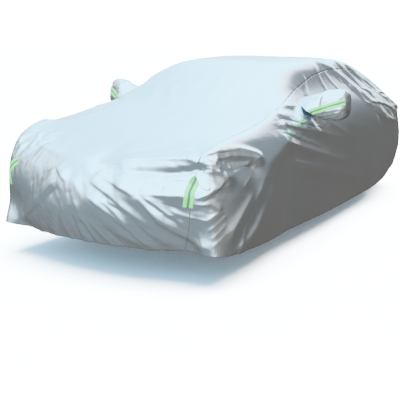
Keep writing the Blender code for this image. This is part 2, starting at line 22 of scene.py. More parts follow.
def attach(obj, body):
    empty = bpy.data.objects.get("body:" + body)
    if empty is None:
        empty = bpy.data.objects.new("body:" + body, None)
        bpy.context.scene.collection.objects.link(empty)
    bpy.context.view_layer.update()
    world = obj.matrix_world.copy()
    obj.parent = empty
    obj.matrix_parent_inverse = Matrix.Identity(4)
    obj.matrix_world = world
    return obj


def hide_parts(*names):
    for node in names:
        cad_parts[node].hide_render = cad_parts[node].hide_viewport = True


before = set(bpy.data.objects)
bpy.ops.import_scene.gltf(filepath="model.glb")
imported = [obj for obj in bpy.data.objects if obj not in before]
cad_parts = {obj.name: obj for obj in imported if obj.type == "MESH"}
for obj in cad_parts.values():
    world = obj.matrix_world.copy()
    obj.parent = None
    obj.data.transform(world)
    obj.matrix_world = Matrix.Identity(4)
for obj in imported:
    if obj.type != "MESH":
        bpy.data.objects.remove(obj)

log = logging.getLogger("car_cover")

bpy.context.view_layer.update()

# Where the frame's origin lies in the tables: under the top of the roof.
CLOTH = 0.0025
ROOF_X = -0.400
ROOF_Z = 1.424
ORIGIN = np.array([ROOF_X, 0.0, ROOF_Z - CLOTH])
# How far the fine cloth stands inside the solids' outer face.
COAT = 0.0012
# Points inside the cover, inside its front and inside its left pocket, to tell which way is out.
COVER_HEART = np.array([0.0, 0.0, 0.4])
FRONT_HEART = np.array([1.9, 0.0, 0.6])
POCKET_HEART = np.array([0.59, 0.90, 1.05])


# ---- Form: the tables of the solids ----

# How the centre panel bows forward and back between its two seams.
BOW = 2.2
# Share of a side panel's first level that keeps the centre panel's slope at the seam.
SEAM_STIFFNESS = 0.9


class CentreRow(NamedTuple):
    """A section across the centre panel: its middle, its seam and how square it is between them."""

    name: str
    mid_x: float
    mid_z: float
    seam_x: float
    seam_y: float
    seam_z: float
    squareness: float


CENTRE_ROWS = (
    CentreRow("front hem", 2.330, 0.226, 2.215, 0.620, 0.240, 2.4),
    CentreRow("front belly", 2.425, 0.420, 2.290, 0.690, 0.420, 2.4),
    CentreRow("front brow", 2.420, 0.610, 2.310, 0.710, 0.620, 2.6),
    CentreRow("nose lip", 2.330, 0.760, 2.235, 0.720, 0.815, 2.6),
    CentreRow("nose", 2.080, 0.885, 2.050, 0.745, 0.912, 2.4),
    CentreRow("front deck", 1.700, 0.975, 1.690, 0.757, 0.962, 2.4),
    CentreRow("cowl", 1.230, 1.045, 1.180, 0.750, 1.052, 3.0),
    CentreRow("front slope foot", 0.890, 1.205, 0.800, 0.705, 1.145, 5.5),
    CentreRow("front slope", 0.480, 1.355, 0.400, 0.655, 1.222, 9.0),
    CentreRow("front slope top", 0.070, 1.404, 0.040, 0.620, 1.282, 10.0),
    CentreRow("roof", ROOF_X, ROOF_Z, -0.420, 0.600, 1.317, 9.0),
    CentreRow("roof rear", -0.950, 1.410, -0.950, 0.600, 1.300, 9.0),
    CentreRow("rear slope", -1.420, 1.345, -1.420, 0.625, 1.215, 7.0),
    CentreRow("rear deck front", -1.920, 1.200, -1.910, 0.665, 1.080, 5.5),
    CentreRow("rear deck", -2.280, 1.050, -2.250, 0.660, 0.965, 3.5),
    CentreRow("tail lip", -2.440, 0.930, -2.380, 0.655, 0.860, 2.6),
    CentreRow("rear belly", -2.500, 0.600, -2.430, 0.670, 0.580, 2.4),
    CentreRow("rear hem", -2.420, 0.250, -2.350, 0.630, 0.260, 2.4),
)
NOSE_LIP = 3
TAIL_LIP = 15


class SideRow(NamedTuple):
    """A section down a side panel: the centre panel's row at its top, and its four lower points."""

    name: str
    seam_row: float
    brow: tuple
    shoulder: tuple
    belly: tuple
    hem: tuple


SIDE_ROWS = (
    SideRow("nose corner", 3.95, (2.120, 0.825, 0.800), (2.175, 0.856, 0.620),
            (2.195, 0.864, 0.430), (2.240, 0.858, 0.245)),
    SideRow("before front arch", 4.55, (1.880, 0.890, 0.840), (1.900, 0.935, 0.670),
            (1.890, 0.945, 0.440), (1.860, 0.920, 0.215)),
    SideRow("front arch", 5.25, (1.520, 0.905, 0.890), (1.520, 0.950, 0.720),
            (1.500, 0.950, 0.450), (1.480, 0.915, 0.200)),
    SideRow("behind front arch", 6.00, (1.150, 0.880, 0.950), (1.120, 0.925, 0.800),
            (1.080, 0.925, 0.480), (1.050, 0.895, 0.190)),
    SideRow("pocket", 7.00, (0.720, 0.830, 1.020), (0.670, 0.910, 0.860),
            (0.640, 0.920, 0.500), (0.620, 0.890, 0.180)),
    SideRow("front middle", 8.65, (0.150, 0.780, 1.090), (0.130, 0.905, 0.900),
            (0.120, 0.920, 0.520), (0.120, 0.890, 0.172)),
    SideRow("middle", 10.0, (-0.420, 0.770, 1.130), (-0.420, 0.900, 0.920),
            (-0.420, 0.920, 0.520), (-0.420, 0.885, 0.172)),
    SideRow("before rear arch", 11.0, (-0.950, 0.770, 1.120), (-0.950, 0.900, 0.920),
            (-0.950, 0.925, 0.520), (-0.950, 0.885, 0.178)),
    SideRow("rear arch", 12.0, (-1.420, 0.790, 1.050), (-1.420, 0.895, 0.890),
            (-1.420, 0.925, 0.520), (-1.420, 0.885, 0.215)),
    SideRow("behind rear arch", 13.0, (-1.870, 0.790, 0.960), (-1.860, 0.860, 0.820),
            (-1.860, 0.875, 0.520), (-1.830, 0.840, 0.260)),
    SideRow("tail corner", 14.1, (-2.260, 0.750, 0.860), (-2.280, 0.780, 0.720),
            (-2.300, 0.795, 0.500), (-2.240, 0.765, 0.265)),
)


class HemDrop(NamedTuple):
    """A place where the hem hangs lower: its middle, its reach along the hem and how far it drops."""

    name: str
    mid_x: float
    mid_y: float
    reach: float
    drop: float


HEM_DROPS = (
    HemDrop("front right corner", 2.260, -0.600, 0.280, 0.022),
    HemDrop("front left corner", 2.190, 0.800, 0.160, 0.012),
)
HEM_FADE = 0.35
HEM_Z = 0.24

# The centre panel's rows that a side panel's five levels meet on the front and the rear seam.
FRONT_SEAM_ROWS = (3.0, 2.45, 1.75, 0.95, 0.0)
REAR_SEAM_ROWS = (15.0, 15.45, 15.85, 16.35, 17.0)

# The pocket hole in a side panel, in its stations and levels.
HOLE_STATIONS = (5.0, 5.4)
HOLE_LEVELS = (0.5, 1.25)


class FoldShape(Enum):
    """How a fold stands off the cloth across its path."""

    SOFT = "soft"
    CREST = "crest"
    TUCK = "tuck"


SOFT, CREST, TUCK = FoldShape
MILLIMETRES = 1000


class Fold(NamedTuple):
    """A ridge, or a trough where its heights are negative, along a path on the cover."""

    shape: FoldShape
    width: float
    start_height: float
    end_height: float
    path: np.ndarray


def folds_of(rows: Sequence[tuple]) -> list[Fold]:
    """The folds of a table.

    Args:
        rows: Each fold's shape, width, height at its start and its end, and the points of its path, in
            millimetres.

    Returns:
        The folds, in metres.
    """
    folds = []
    for shape, *sizes in rows:
        width, start, end, *path = (np.array(size) / MILLIMETRES for size in sizes)
        folds.append(Fold(shape, float(width), float(start), float(end), np.array(path)))
    return folds


MAIN_FOLDS = folds_of((
    # Front lip and nose.
    (SOFT, 50, 6, 20, (2310, 220, 770), (2240, 700, 815), (2120, 860, 720)),
    (SOFT, 60, -10, -24, (2370, 200, 700), (2290, 720, 720)),
    (SOFT, 55, 8, 18, (2330, -40, 763), (2270, -450, 796)),
    (SOFT, 70, 4, 26, (2160, -740, 850), (1880, -800, 930)),
    (SOFT, 80, -10, -18, (2240, 60, 830), (2380, 120, 690)),
    # Front fascia: the folds that fan out towards the hem.
    (SOFT, 55, 10, 26, (2400, -250, 640), (2230, -740, 245)),
    (SOFT, 85, -12, -30, (2360, -400, 640), (2240, -780, 380)),
    (SOFT, 40, 6, 14, (2400, -190, 670), (2310, -340, 236)),
    (SOFT, 40, 6, 14, (2410, -90, 640), (2330, -70, 236)),
    (SOFT, 50, 12, 26, (2430, 30, 540), (2290, 400, 238)),
    (SOFT, 50, 10, 22, (2400, 70, 680), (2370, 460, 420), (2300, 560, 250)),
    (SOFT, 50, -6, -20, (2420, 160, 620), (2290, 660, 300)),
    (SOFT, 50, 14, 26, (2410, 260, 630), (2380, 490, 490), (2240, 760, 270)),
    (SOFT, 45, 12, 16, (2400, 360, 600), (2330, 660, 605)),
    (SOFT, 60, 6, 18, (2200, 800, 640), (2270, 790, 250)),
    # Left side, at the front arch.
    (SOFT, 45, 12, 20, (2130, 780, 870), (1950, 860, 865), (1810, 920, 815)),
    (SOFT, 60, -18, -22, (2100, 850, 780), (1900, 920, 770)),
    (SOFT, 80, 16, 22, (1480, 930, 840), (1700, 950, 750), (1810, 950, 600)),
    (SOFT, 200, -20, -26, (1150, 930, 700), (1200, 930, 350)),
    (SOFT, 40, 16, 30, (1690, 960, 580), (1860, 940, 370), (2020, 920, 240)),
    (SOFT, 45, 10, 18, (1950, 940, 530), (2130, 900, 380)),
    # Left side, below the pocket.
    (SOFT, 45, 16, 10, (1230, 780, 1037), (760, 880, 942)),
    (SOFT, 45, 14, 10, (1240, 860, 967), (680, 910, 874)),
    (SOFT, 60, 20, 8, (1360, 920, 869), (-60, 920, 545)),
    (SOFT, 60, 14, 6, (1130, 930, 660), (-450, 910, 372)),
    # Left side, under the roof edge, and rear quarter.
    (SOFT, 50, 14, 20, (-240, 520, 1390), (-530, 620, 1290), (-960, 920, 800)),
    (SOFT, 50, 16, 10, (-720, 540, 1380), (-980, 710, 1170), (-1100, 860, 1000)),
    (SOFT, 50, 18, 16, (-960, 570, 1340), (-1690, 770, 1020)),
    (SOFT, 50, 12, 18, (-610, 750, 1152), (-1220, 910, 850)),
    (SOFT, 55, 16, 22, (-1550, 800, 1020), (-2150, 780, 900)),
    # Right side, which hangs more plainly.
    (SOFT, 130, -10, -30, (1660, -760, 970), (1000, -740, 1070)),
    (SOFT, 90, 20, 12, (620, -620, 1250), (300, -600, 1340)),
    (SOFT, 50, 12, 26, (1720, -950, 600), (2020, -910, 240)),
    (SOFT, 60, 16, 8, (1300, -920, 850), (100, -920, 560)),
    (SOFT, 65, 8, 16, (200, -920, 700), (-950, -920, 380)),
    (SOFT, 55, 14, 18, (-550, -600, 1300), (-1050, -880, 900)),
    (SOFT, 60, 16, 18, (-1500, -780, 1050), (-2100, -800, 820)),
    # Rear fascia.
    (SOFT, 55, 10, 22, (-2460, 200, 780), (-2380, 520, 260)),
    (SOFT, 55, 10, 20, (-2460, -180, 780), (-2380, -500, 260)),
    (SOFT, 60, -12, -12, (-2470, -450, 820), (-2470, 450, 820)),
))


class PocketRing(NamedTuple):
    """A ring of a pocket: how far out it is, its middle and its half sizes."""

    reach_y: float
    mid_x: float
    mid_z: float
    half_depth: float
    half_height: float


POCKET_RINGS = (
    PocketRing(0.905, 0.640, 1.080, 0.136, 0.092),
    PocketRing(0.940, 0.624, 1.083, 0.130, 0.106),
    PocketRing(0.986, 0.608, 1.086, 0.120, 0.114),
    PocketRing(1.045, 0.592, 1.089, 0.108, 0.115),
    PocketRing(1.084, 0.584, 1.091, 0.094, 0.102),
    PocketRing(1.108, 0.580, 1.091, 0.060, 0.068),
)
# A pocket swells just outside its hole: the swelling's middle, half sizes and height above it.
FOOT_X = 0.632
FOOT_DEPTH = 0.150
FOOT_HEIGHT = 0.084
FOOT_RISE = 0.024
# Its front leans back above its middle.
POCKET_LEAN = 0.40
POCKET_ROUNDNESS = 3.4
POCKET_TIP_Y = 1.117
POCKET_ROOT_Y = 0.860
# How far out the middle of its body is.
POCKET_BODY_Y = 0.98
RIGHT_POCKET_SHARE = 0.84


class Strip(NamedTuple):
    """A reflective strip: its name, its width and its path."""

    place: str
    width: float
    path: tuple


STRIPS = (
    Strip("front_left", 0.062, ((2.30, 0.720, 0.740), (2.32, 0.702, 0.640), (2.31, 0.686, 0.545))),
    Strip("front_right", 0.056, ((2.29, -0.665, 0.705), (2.27, -0.745, 0.640), (2.27, -0.765, 0.530))),
    Strip("mirror_left", 0.050,
          ((0.768, 0.874, 1.037), (0.755, 0.925, 1.053), (0.71, 1.000, 1.080), (0.645, 1.092, 1.112))),
    Strip("mirror_right", 0.050,
          ((0.768, -0.875, 1.038), (0.755, -0.915, 1.053), (0.71, -0.978, 1.080), (0.65, -1.053, 1.110))),
)
STRIPE_SHARE = 0.26


FINE_FOLDS = folds_of((
    # Lip and nose.
    (TUCK, 46, 12, 24, (2330, 20, 755), (2270, 390, 802), (2240, 700, 828)),
    (SOFT, 32, -12, -30, (2350, 50, 715), (2330, 330, 735), (2300, 550, 746), (2250, 740, 774)),
    (TUCK, 40, 10, 12, (2250, 640, 826), (2200, 790, 776), (2130, 880, 710)),
    (TUCK, 45, 12, 6, (2260, -520, 825), (2330, -280, 778), (2330, 20, 768)),
    (CREST, 20, 9, 6, (2280, -580, 790), (2200, -590, 850), (2100, -610, 900)),
    (CREST, 20, 5, 7, (2120, -620, 884), (2200, -570, 850), (2260, -500, 814)),
    (CREST, 16, 4, 6, (2120, -570, 880), (2220, -500, 834)),
    (CREST, 16, 4, 4, (2060, -580, 900), (2220, -460, 836)),
    (CREST, 18, 8, 6, (2180, -740, 850), (2270, -660, 777)),
    (CREST, 30, 4, 2.9, (2260, 20, 790), (2160, 240, 855), (2040, 440, 900)),
    (CREST, 24, 5.4, 2.9, (2280, 170, 785), (2200, 410, 846), (2100, 620, 880)),
    (CREST, 30, 2.9, 1.8, (2140, 100, 860), (1960, 440, 920), (1800, 620, 945)),
    (CREST, 18, 5, 3, (2320, 200, 748), (2330, 300, 715)),
    (CREST, 18, 5, 3, (2300, 360, 770), (2330, 280, 730)),
    (CREST, 24, 6, 8, (2340, 400, 705), (2290, 670, 725)),
    # Front, fanning to the hem on the right.
    (TUCK, 45, 10, 4, (2360, -280, 715), (2410, -170, 632), (2420, -150, 560)),
    (CREST, 16, -9, -13.5, (2420, -220, 590), (2390, -410, 440), (2220, -760, 200)),
    (CREST, 22, 10.5, 7.5, (2370, -260, 710), (2380, -380, 633), (2340, -560, 520)),
    (CREST, 22, 9, 12, (2390, -270, 671), (2390, -430, 540), (2270, -680, 345)),
    (CREST, 20, -9, -7.5, (2380, -310, 690), (2370, -480, 593), (2310, -620, 480)),
    (CREST, 24, 7.5, 10.5, (2410, -240, 640), (2380, -440, 480), (2240, -700, 260)),
    (CREST, 18, -3, -12, (2400, -300, 430), (2290, -430, 244), (2250, -470, 180)),
    (CREST, 18, 3, 12, (2380, -380, 400), (2260, -510, 220), (2220, -550, 160)),
    (CREST, 18, -4.5, -13.5, (2430, -210, 520), (2400, -240, 395), (2310, -330, 200)),
    (CREST, 17, 3, 13.5, (2410, -200, 420), (2370, -210, 318), (2300, -180, 180)),
    (CREST, 18, -4.5, -12, (2430, -120, 480), (2400, -110, 343), (2320, -100, 180)),
    (CREST, 18, 6, 13.5, (2430, -90, 520), (2410, -20, 379), (2320, 60, 190)),
    (CREST, 16, -4.5, -12, (2410, -40, 380), (2330, 0, 200)),
    (CREST, 20, 4.5, 15, (2420, 20, 410), (2380, 80, 320), (2310, 170, 190)),
    (CREST, 18, -4.5, -12, (2400, 140, 350), (2300, 260, 190)),
    (CREST, 18, 3, 10.5, (2380, -480, 380), (2240, -600, 180)),
    # Front, fanning to the hem on the left.
    (TUCK, 50, 8, 16, (2440, 20, 560), (2430, 200, 456), (2390, 310, 368), (2280, 470, 200)),
    (TUCK, 24, 5, 6, (2430, 120, 545), (2420, 230, 472), (2390, 300, 385)),
    (TUCK, 40, 6, 10, (2410, 20, 655), (2420, 200, 568), (2410, 330, 486), (2330, 480, 300)),
    (TUCK, 30, 6, 6, (2430, 160, 548), (2410, 330, 480), (2360, 500, 380)),
    (TUCK, 50, 8, 14, (2380, 40, 710), (2410, 230, 646), (2420, 370, 598)),
    (TUCK, 36, 12, 10, (2420, 380, 600), (2360, 530, 432), (2270, 680, 325), (2240, 840, 240)),
    (TUCK, 30, 10, 8, (2410, 390, 620), (2340, 620, 464), (2270, 740, 352), (2250, 800, 260)),
    (TUCK, 45, 8, 12, (2410, 370, 618), (2380, 530, 612), (2320, 710, 612)),
    # Round the left strip and down the corner.
    (TUCK, 30, 6, 8, (2360, 460, 655), (2320, 560, 705), (2280, 700, 706)),
    (TUCK, 24, 5, 6, (2360, 530, 640), (2300, 690, 666)),
    (TUCK, 22, 7, 6, (2290, 700, 692), (2250, 800, 650)),
    (CREST, 22, 8, 7, (2300, 730, 590), (2230, 820, 655), (2110, 890, 680)),
    (TUCK, 40, 8, 14, (2280, 760, 590), (2220, 830, 650), (2130, 880, 730)),
    (TUCK, 26, 6, 8, (2330, 690, 568), (2250, 820, 560), (2200, 860, 515)),
    (CREST, 22, 5, 9, (2350, 580, 525), (2310, 690, 485), (2260, 790, 465), (2200, 870, 530)),
    (CREST, 16, 3.5, 3.5, (2270, 790, 440), (2180, 870, 520)),
    (CREST, 16, 4, 4, (2260, 800, 390), (2170, 880, 490)),
    (CREST, 16, 3.5, 3.5, (2250, 820, 340), (2170, 890, 440)),
    (CREST, 16, 3, 3, (2250, 830, 295), (2160, 900, 390)),
    # Left side, at the front arch.
    (TUCK, 30, 6, 10, (2240, 700, 840), (2140, 780, 872), (1960, 860, 876), (1800, 930, 832)),
    (CREST, 18, 4, 6, (2240, 720, 815), (2180, 790, 832), (2030, 840, 842)),
    (CREST, 18, 6, 6, (2050, 840, 846), (1810, 930, 810)),
    (TUCK, 26, 6, 8, (2240, 740, 805), (2120, 840, 765), (1920, 900, 780), (1870, 910, 809)),
    (CREST, 20, 6, 6, (2250, 760, 765), (2100, 880, 736)),
    (CREST, 28, 7, 8, (2160, 860, 715), (1940, 900, 766), (1760, 930, 832)),
    (CREST, 30, 6, 6, (1920, 940, 600), (2040, 920, 495), (2150, 910, 380)),
    (CREST, 20, 5, 4, (1840, 920, 775), (2010, 920, 640)),
    (CREST, 14, 4, 12, (1760, 960, 715), (1870, 950, 579), (1980, 930, 401), (2070, 915, 200)),
    (CREST, 22, 6, 10, (1960, 940, 330), (2050, 920, 269), (2150, 900, 220)),
    (CREST, 26, 4, 6, (1670, 950, 440), (1880, 930, 230)),
    # Left side, below the pocket.
    (TUCK, 38, 8, 10, (1320, 730, 1045), (1180, 840, 1019), (1000, 880, 972), (740, 900, 944)),
    (TUCK, 34, 9, 6, (1340, 850, 985), (1050, 900, 932), (680, 920, 876)),
    (TUCK, 30, 7, 4, (1360, 890, 940), (1020, 920, 850), (620, 930, 758)),
    (CREST, 20, 6, 5, (1280, 840, 992), (1000, 890, 946)),
    (CREST, 30, 7, 6, (1220, 690, 1046), (1000, 760, 1086), (780, 800, 1062)),
    (CREST, 28, 11, 6, (1450, 930, 890), (890, 930, 761), (-40, 930, 552)),
    (CREST, 28, 7, 4, (1320, 930, 740), (530, 930, 578), (-280, 920, 414)),
    (CREST, 22, 7, 5, (460, 880, 950), (-80, 920, 786)),
    (CREST, 22, 5, 4, (780, 910, 898), (50, 920, 774)),
    # Left side, under the roof edge.
    (CREST, 20, 6, 5, (280, 620, 1280), (450, 720, 1130)),
    (CREST, 18, 5, 4, (380, 650, 1230), (500, 730, 1130)),
    (CREST, 20, 6, 6, (-90, 520, 1390), (-30, 670, 1217), (30, 790, 1070)),
    (CREST, 20, 6, 5, (-200, 520, 1400), (-270, 710, 1184), (-290, 820, 1040)),
    (CREST, 22, 7, 6, (-440, 500, 1400), (-450, 620, 1300), (-490, 700, 1200)),
    (CREST, 26, 9, 13, (-660, 500, 1400), (-590, 690, 1227), (-690, 860, 1029), (-1620, 900, 770)),
    (CREST, 20, 7, 6, (-690, 560, 1365), (-670, 730, 1180), (-880, 870, 1005)),
    (CREST, 22, 7, 8, (-840, 570, 1345), (-920, 750, 1144), (-1360, 860, 980)),
    (CREST, 18, 6, 5, (-600, 540, 1390), (-660, 620, 1300), (-640, 830, 1085)),
    (CREST, 22, 8, 8, (-1010, 590, 1320), (-1270, 730, 1129), (-1500, 790, 1055)),
    (CREST, 20, 8, 7, (-1220, 580, 1290), (-1410, 740, 1104), (-1570, 840, 990)),
    (TUCK, 34, 12, 10, (-800, 870, 1030), (-1300, 870, 976), (-1820, 860, 860)),
    (CREST, 30, 8, 10, (-800, 890, 975), (-1160, 920, 852), (-1840, 870, 775)),
    (CREST, 26, 10, 8, (-1540, 810, 1030), (-1860, 830, 915)),
    (CREST, 30, 8, 10, (-1100, 920, 800), (-2080, 810, 868)),
    (TUCK, 26, 10, 8, (-1400, 760, 1090), (-1960, 740, 990)),
    (CREST, 24, 8, 6, (-1620, 860, 940), (-2220, 760, 880)),
    # Right side.
    (CREST, 36, 10, 8, (1300, -740, 1045), (1040, -870, 985), (740, -900, 940)),
    (CREST, 30, 8, 5, (1360, -870, 960), (1000, -910, 890), (660, -930, 850)),
    (CREST, 28, 9, 5, (1400, -930, 820), (600, -930, 690), (-200, -920, 500)),
    (CREST, 30, 6, 9, (400, -930, 640), (-400, -920, 520), (-1200, -920, 300)),
    (CREST, 24, 6, 13, (1680, -960, 650), (1860, -950, 430), (2060, -910, 190)),
    (CREST, 22, 6, 6, (1980, -930, 560), (2140, -900, 390)),
    (CREST, 30, 10, 8, (2160, -780, 830), (1900, -880, 850), (1660, -930, 800)),
    (CREST, 22, 7, 6, (100, -600, 1300), (260, -760, 1100)),
    (CREST, 22, 7, 6, (-300, -540, 1380), (-420, -700, 1180), (-440, -840, 1030)),
    (CREST, 24, 9, 10, (-620, -520, 1390), (-800, -720, 1180), (-1100, -880, 950)),
    (CREST, 22, 8, 9, (-960, -560, 1340), (-1220, -740, 1130), (-1560, -860, 940)),
    (CREST, 30, 10, 10, (-1200, -880, 930), (-1900, -850, 820)),
    (TUCK, 26, 10, 8, (-1500, -800, 1030), (-2100, -780, 930)),
    (CREST, 30, 6, 10, (-1500, -930, 660), (-1900, -880, 420), (-2040, -820, 220)),
    # Tail.
    (CREST, 30, 6, 10, (-1560, 930, 640), (-1920, 880, 420), (-2060, 820, 220)),
    (TUCK, 40, 8, 10, (-2360, 620, 900), (-2440, 100, 935), (-2380, -580, 900)),
    (CREST, 26, 5, 11, (-2480, 60, 800), (-2460, 300, 460), (-2360, 420, 200)),
    (CREST, 24, 4, 10, (-2480, -40, 800), (-2470, -120, 460), (-2380, -160, 200)),
    (CREST, 26, 6, 11, (-2470, -200, 780), (-2440, -460, 480), (-2330, -600, 210)),
    (CREST, 26, 6, 10, (-2460, 300, 760), (-2420, 580, 520), (-2300, 720, 240)),
    (CREST, 20, -3, -9, (-2480, 20, 600), (-2470, 80, 400), (-2380, 140, 200)),
    (CREST, 20, -3, -9, (-2470, -260, 560), (-2440, -320, 380), (-2360, -360, 200)),
    (CREST, 30, 8, 6, (-2340, 740, 780), (-2340, 760, 420)),
    (CREST, 30, 8, 6, (-2340, -740, 780), (-2320, -770, 420)),
))
# The share of a tuck's or crest's length over which it rises and falls.
FOLD_TAPER = 0.16


# ---- Curves and grids ----


def unit(vectors: np.ndarray) -> np.ndarray:
    """Vectors of length one along the given ones."""
    return vectors / np.maximum(np.linalg.norm(vectors, axis=-1, keepdims=True), 1e-12)


def spline(
    knots: Sequence[float],
    values: Any,
    places: Any,
    start_slope: Any = None,
    end_slope: Any = None,
) -> np.ndarray:
    """A cubic spline through values at knots. An end with no slope runs out straight.

    Args:
        knots: Where the values stand, in rising order.
        values: One value or point for each knot.
        places: Where the spline is read.
        start_slope: The slope at the first knot.
        end_slope: The slope at the last knot.

    Returns:
        The spline's value at each place.
    """
    knots = np.asarray(knots, float)
    values = np.asarray(values, float)
    places = np.asarray(places, float)
    count = len(knots)
    gaps = np.diff(knots)
    matrix = np.zeros((count, count))
    target = np.zeros_like(values)
    for i in range(1, count - 1):
        matrix[i, i - 1:i + 2] = gaps[i - 1], 2 * (gaps[i - 1] + gaps[i]), gaps[i]
        target[i] = 6 * ((values[i + 1] - values[i]) / gaps[i] - (values[i] - values[i - 1]) / gaps[i - 1])
    matrix[0, 0] = matrix[-1, -1] = 1
    if start_slope is not None:
        matrix[0, :2] = 2 * gaps[0], gaps[0]
        target[0] = 6 * ((values[1] - values[0]) / gaps[0] - start_slope)
    if end_slope is not None:
        matrix[-1, -2:] = gaps[-1], 2 * gaps[-1]
        target[-1] = 6 * (end_slope - (values[-1] - values[-2]) / gaps[-1])
    bend = np.linalg.solve(matrix, target.reshape(count, -1)).reshape(values.shape)
    i = np.clip(np.searchsorted(knots, places) - 1, 0, count - 2)
    wide = (slice(None),) + (None,) * (values.ndim - 1)
    before = (places - knots[i])[wide]
    after = (knots[i + 1] - places)[wide]
    gap = gaps[i][wide]
    curve = (bend[i] * after**3 + bend[i + 1] * before**3) / (6 * gap)
    curve += (values[i] / gap - bend[i] * gap / 6) * after
    curve += (values[i + 1] / gap - bend[i + 1] * gap / 6) * before
    return curve


def ramp(values: np.ndarray, start: float, length: float) -> np.ndarray:
    """A share that rises from 0 at a start to 1 a length further on."""
    return np.clip((values - start) / length, 0, 1)


def bell(values: np.ndarray, reach: float, power: float = 2) -> np.ndarray:
    """A share that falls from 1 at 0 towards 0, with a flatter top for a higher power."""
    return np.exp(-((values / reach) ** power))


def eased(values: np.ndarray, passes: int) -> np.ndarray:
    """Values smoothed along their first axis, with both ends kept."""
    values = values.copy()
    for _ in range(passes):
        values[1:-1] = (values[:-2] + 2 * values[1:-1] + values[2:]) / 4
    return values


def run_length(line: np.ndarray) -> np.ndarray:
    """How far each point of a line lies from its start, along the line."""
    return np.concatenate([[0.0], np.cumsum(np.linalg.norm(np.diff(line, axis=0), axis=-1))])


def lines_of(steps: Sequence[tuple]) -> np.ndarray:
    """The places of mesh lines, from rows of start, end and count that follow on one another."""
    places = [steps[0][0]]
    for start, end, count in steps:
        places.extend(np.linspace(start, end, count + 1)[1:])
    return np.array(places)


def grid_normals(points: np.ndarray) -> np.ndarray:
    """Outward normals of a grid of points that lies round the cover's heart."""
    normals = unit(np.cross(np.gradient(points, axis=0), np.gradient(points, axis=1)))
    return normals if (normals * (points - COVER_HEART)).sum() > 0 else -normals


@dataclass
class CoverForm:
    """The cover's smooth form, without its folds."""

    centre_table: np.ndarray = field(default_factory=lambda: np.array([row[1:] for row in CENTRE_ROWS]))

    def sections(self, rows: Any) -> np.ndarray:
        """The columns of the centre panel's table, read at any rows."""
        return spline(np.arange(len(self.centre_table)), self.centre_table, np.atleast_1d(rows))

    def centre(self, rows: Any, across: Any) -> np.ndarray:
        """Points of the centre panel.

        Args:
            rows: Rows along the cover, from 0 on the front hem to 17 on the rear hem.
            across: Places across it, from -1 on the right seam to 1 on the left.

        Returns:
            A grid of points.
        """
        sections = self.sections(rows)
        mid_x, mid_z, seam_x, seam_y, seam_z, squareness = (sections[:, i, None] for i in range(6))
        share = np.abs(np.asarray(across, float))[None, :]
        x = mid_x + (seam_x - mid_x) * share**BOW
        y = seam_y * np.asarray(across, float)[None, :]
        z = mid_z + (seam_z - mid_z) * share**squareness
        return np.stack([x, y, z], -1)

    def seam(self, rows: Any) -> np.ndarray:
        """Points of the left seam."""
        return self.centre(rows, [1.0])[:, 0]

    def seam_slopes(self, rows: Any) -> np.ndarray:
        """The way in which the centre panel reaches its left seam."""
        mid_x, mid_z, seam_x, seam_y, seam_z, squareness = self.sections(rows).T
        return unit(np.stack([BOW * (seam_x - mid_x), seam_y, squareness * (seam_z - mid_z)], -1))

    def seam_row(self, stations: Any) -> np.ndarray:
        """The centre panel's rows that a side panel's stations meet."""
        seam_rows = [NOSE_LIP] + [row.seam_row for row in SIDE_ROWS] + [TAIL_LIP]
        return spline(np.arange(len(seam_rows)), seam_rows, stations)

    def rail(self, level: int, stations: np.ndarray) -> np.ndarray:
        """The left side panel's line at one of its lower levels, which leaves both seams smoothly."""
        front_row, rear_row = FRONT_SEAM_ROWS[level], REAR_SEAM_ROWS[level]
        middle = [row[1 + level] for row in SIDE_ROWS]
        points = np.concatenate([self.seam(front_row), middle, self.seam(rear_row)])
        start = self.seam_slopes(front_row)[0] * np.linalg.norm(points[1] - points[0])
        end = -self.seam_slopes(rear_row)[0] * np.linalg.norm(points[-1] - points[-2])
        return spline(np.arange(len(points)), points, stations, start, end)

    def side(self, stations: np.ndarray, levels: np.ndarray) -> np.ndarray:
        """Points of the left side panel.

        Args:
            stations: Stations along it, from 0 on the front seam to 12 on the rear seam.
            levels: Levels down it, from 0 on the top seam to 4 on the hem.

        Returns:
            A grid of points.
        """
        ends = np.array([0, len(SIDE_ROWS) + 1], float)
        wanted = np.concatenate([ends, stations])
        rows = self.seam_row(wanted)
        rails = np.array([self.seam(rows)] + [self.rail(level, wanted) for level in range(1, 5)])
        first_span = np.linalg.norm(rails[1] - rails[0], axis=-1, keepdims=True)
        leaving = self.seam_slopes(rows) * SEAM_STIFFNESS * first_span
        columns = [spline(np.arange(5), rails[:, i], levels, leaving[i]) for i in range(len(wanted))]
        columns = np.array(columns)
        points = columns[2:]
        for end, seam_table in enumerate((FRONT_SEAM_ROWS, REAR_SEAM_ROWS)):
            edge = self.seam(spline(np.arange(5), seam_table, levels))
            share = np.clip(1 - np.abs(stations - ends[end]), 0, 1) ** 2
            points = points + share[:, None, None] * (edge - columns[end])
        return points

    def hem_drops(self, points: np.ndarray) -> np.ndarray:
        """How far each point hangs below the even hem, from the table of drops."""
        drops = np.zeros(points.shape[:-1])
        lowness = np.clip(1 - (points[..., 2] - HEM_Z) / HEM_FADE, 0, 1) ** 2
        for row in HEM_DROPS:
            distance = np.hypot(points[..., 0] - row.mid_x, points[..., 1] - row.mid_y)
            drops += row.drop * lowness * bell(distance, row.reach)
        return drops


# ---- Relief: what stands off the smooth form ----

# Width of a crest's rounded tip, and how much steeper a tuck falls on one side, as shares of its width.
CREST_TIP = 0.22
TUCK_STEEP = 0.26
# How far a crest reaches to either side, as a share of its width.
CREST_REACH = 0.62


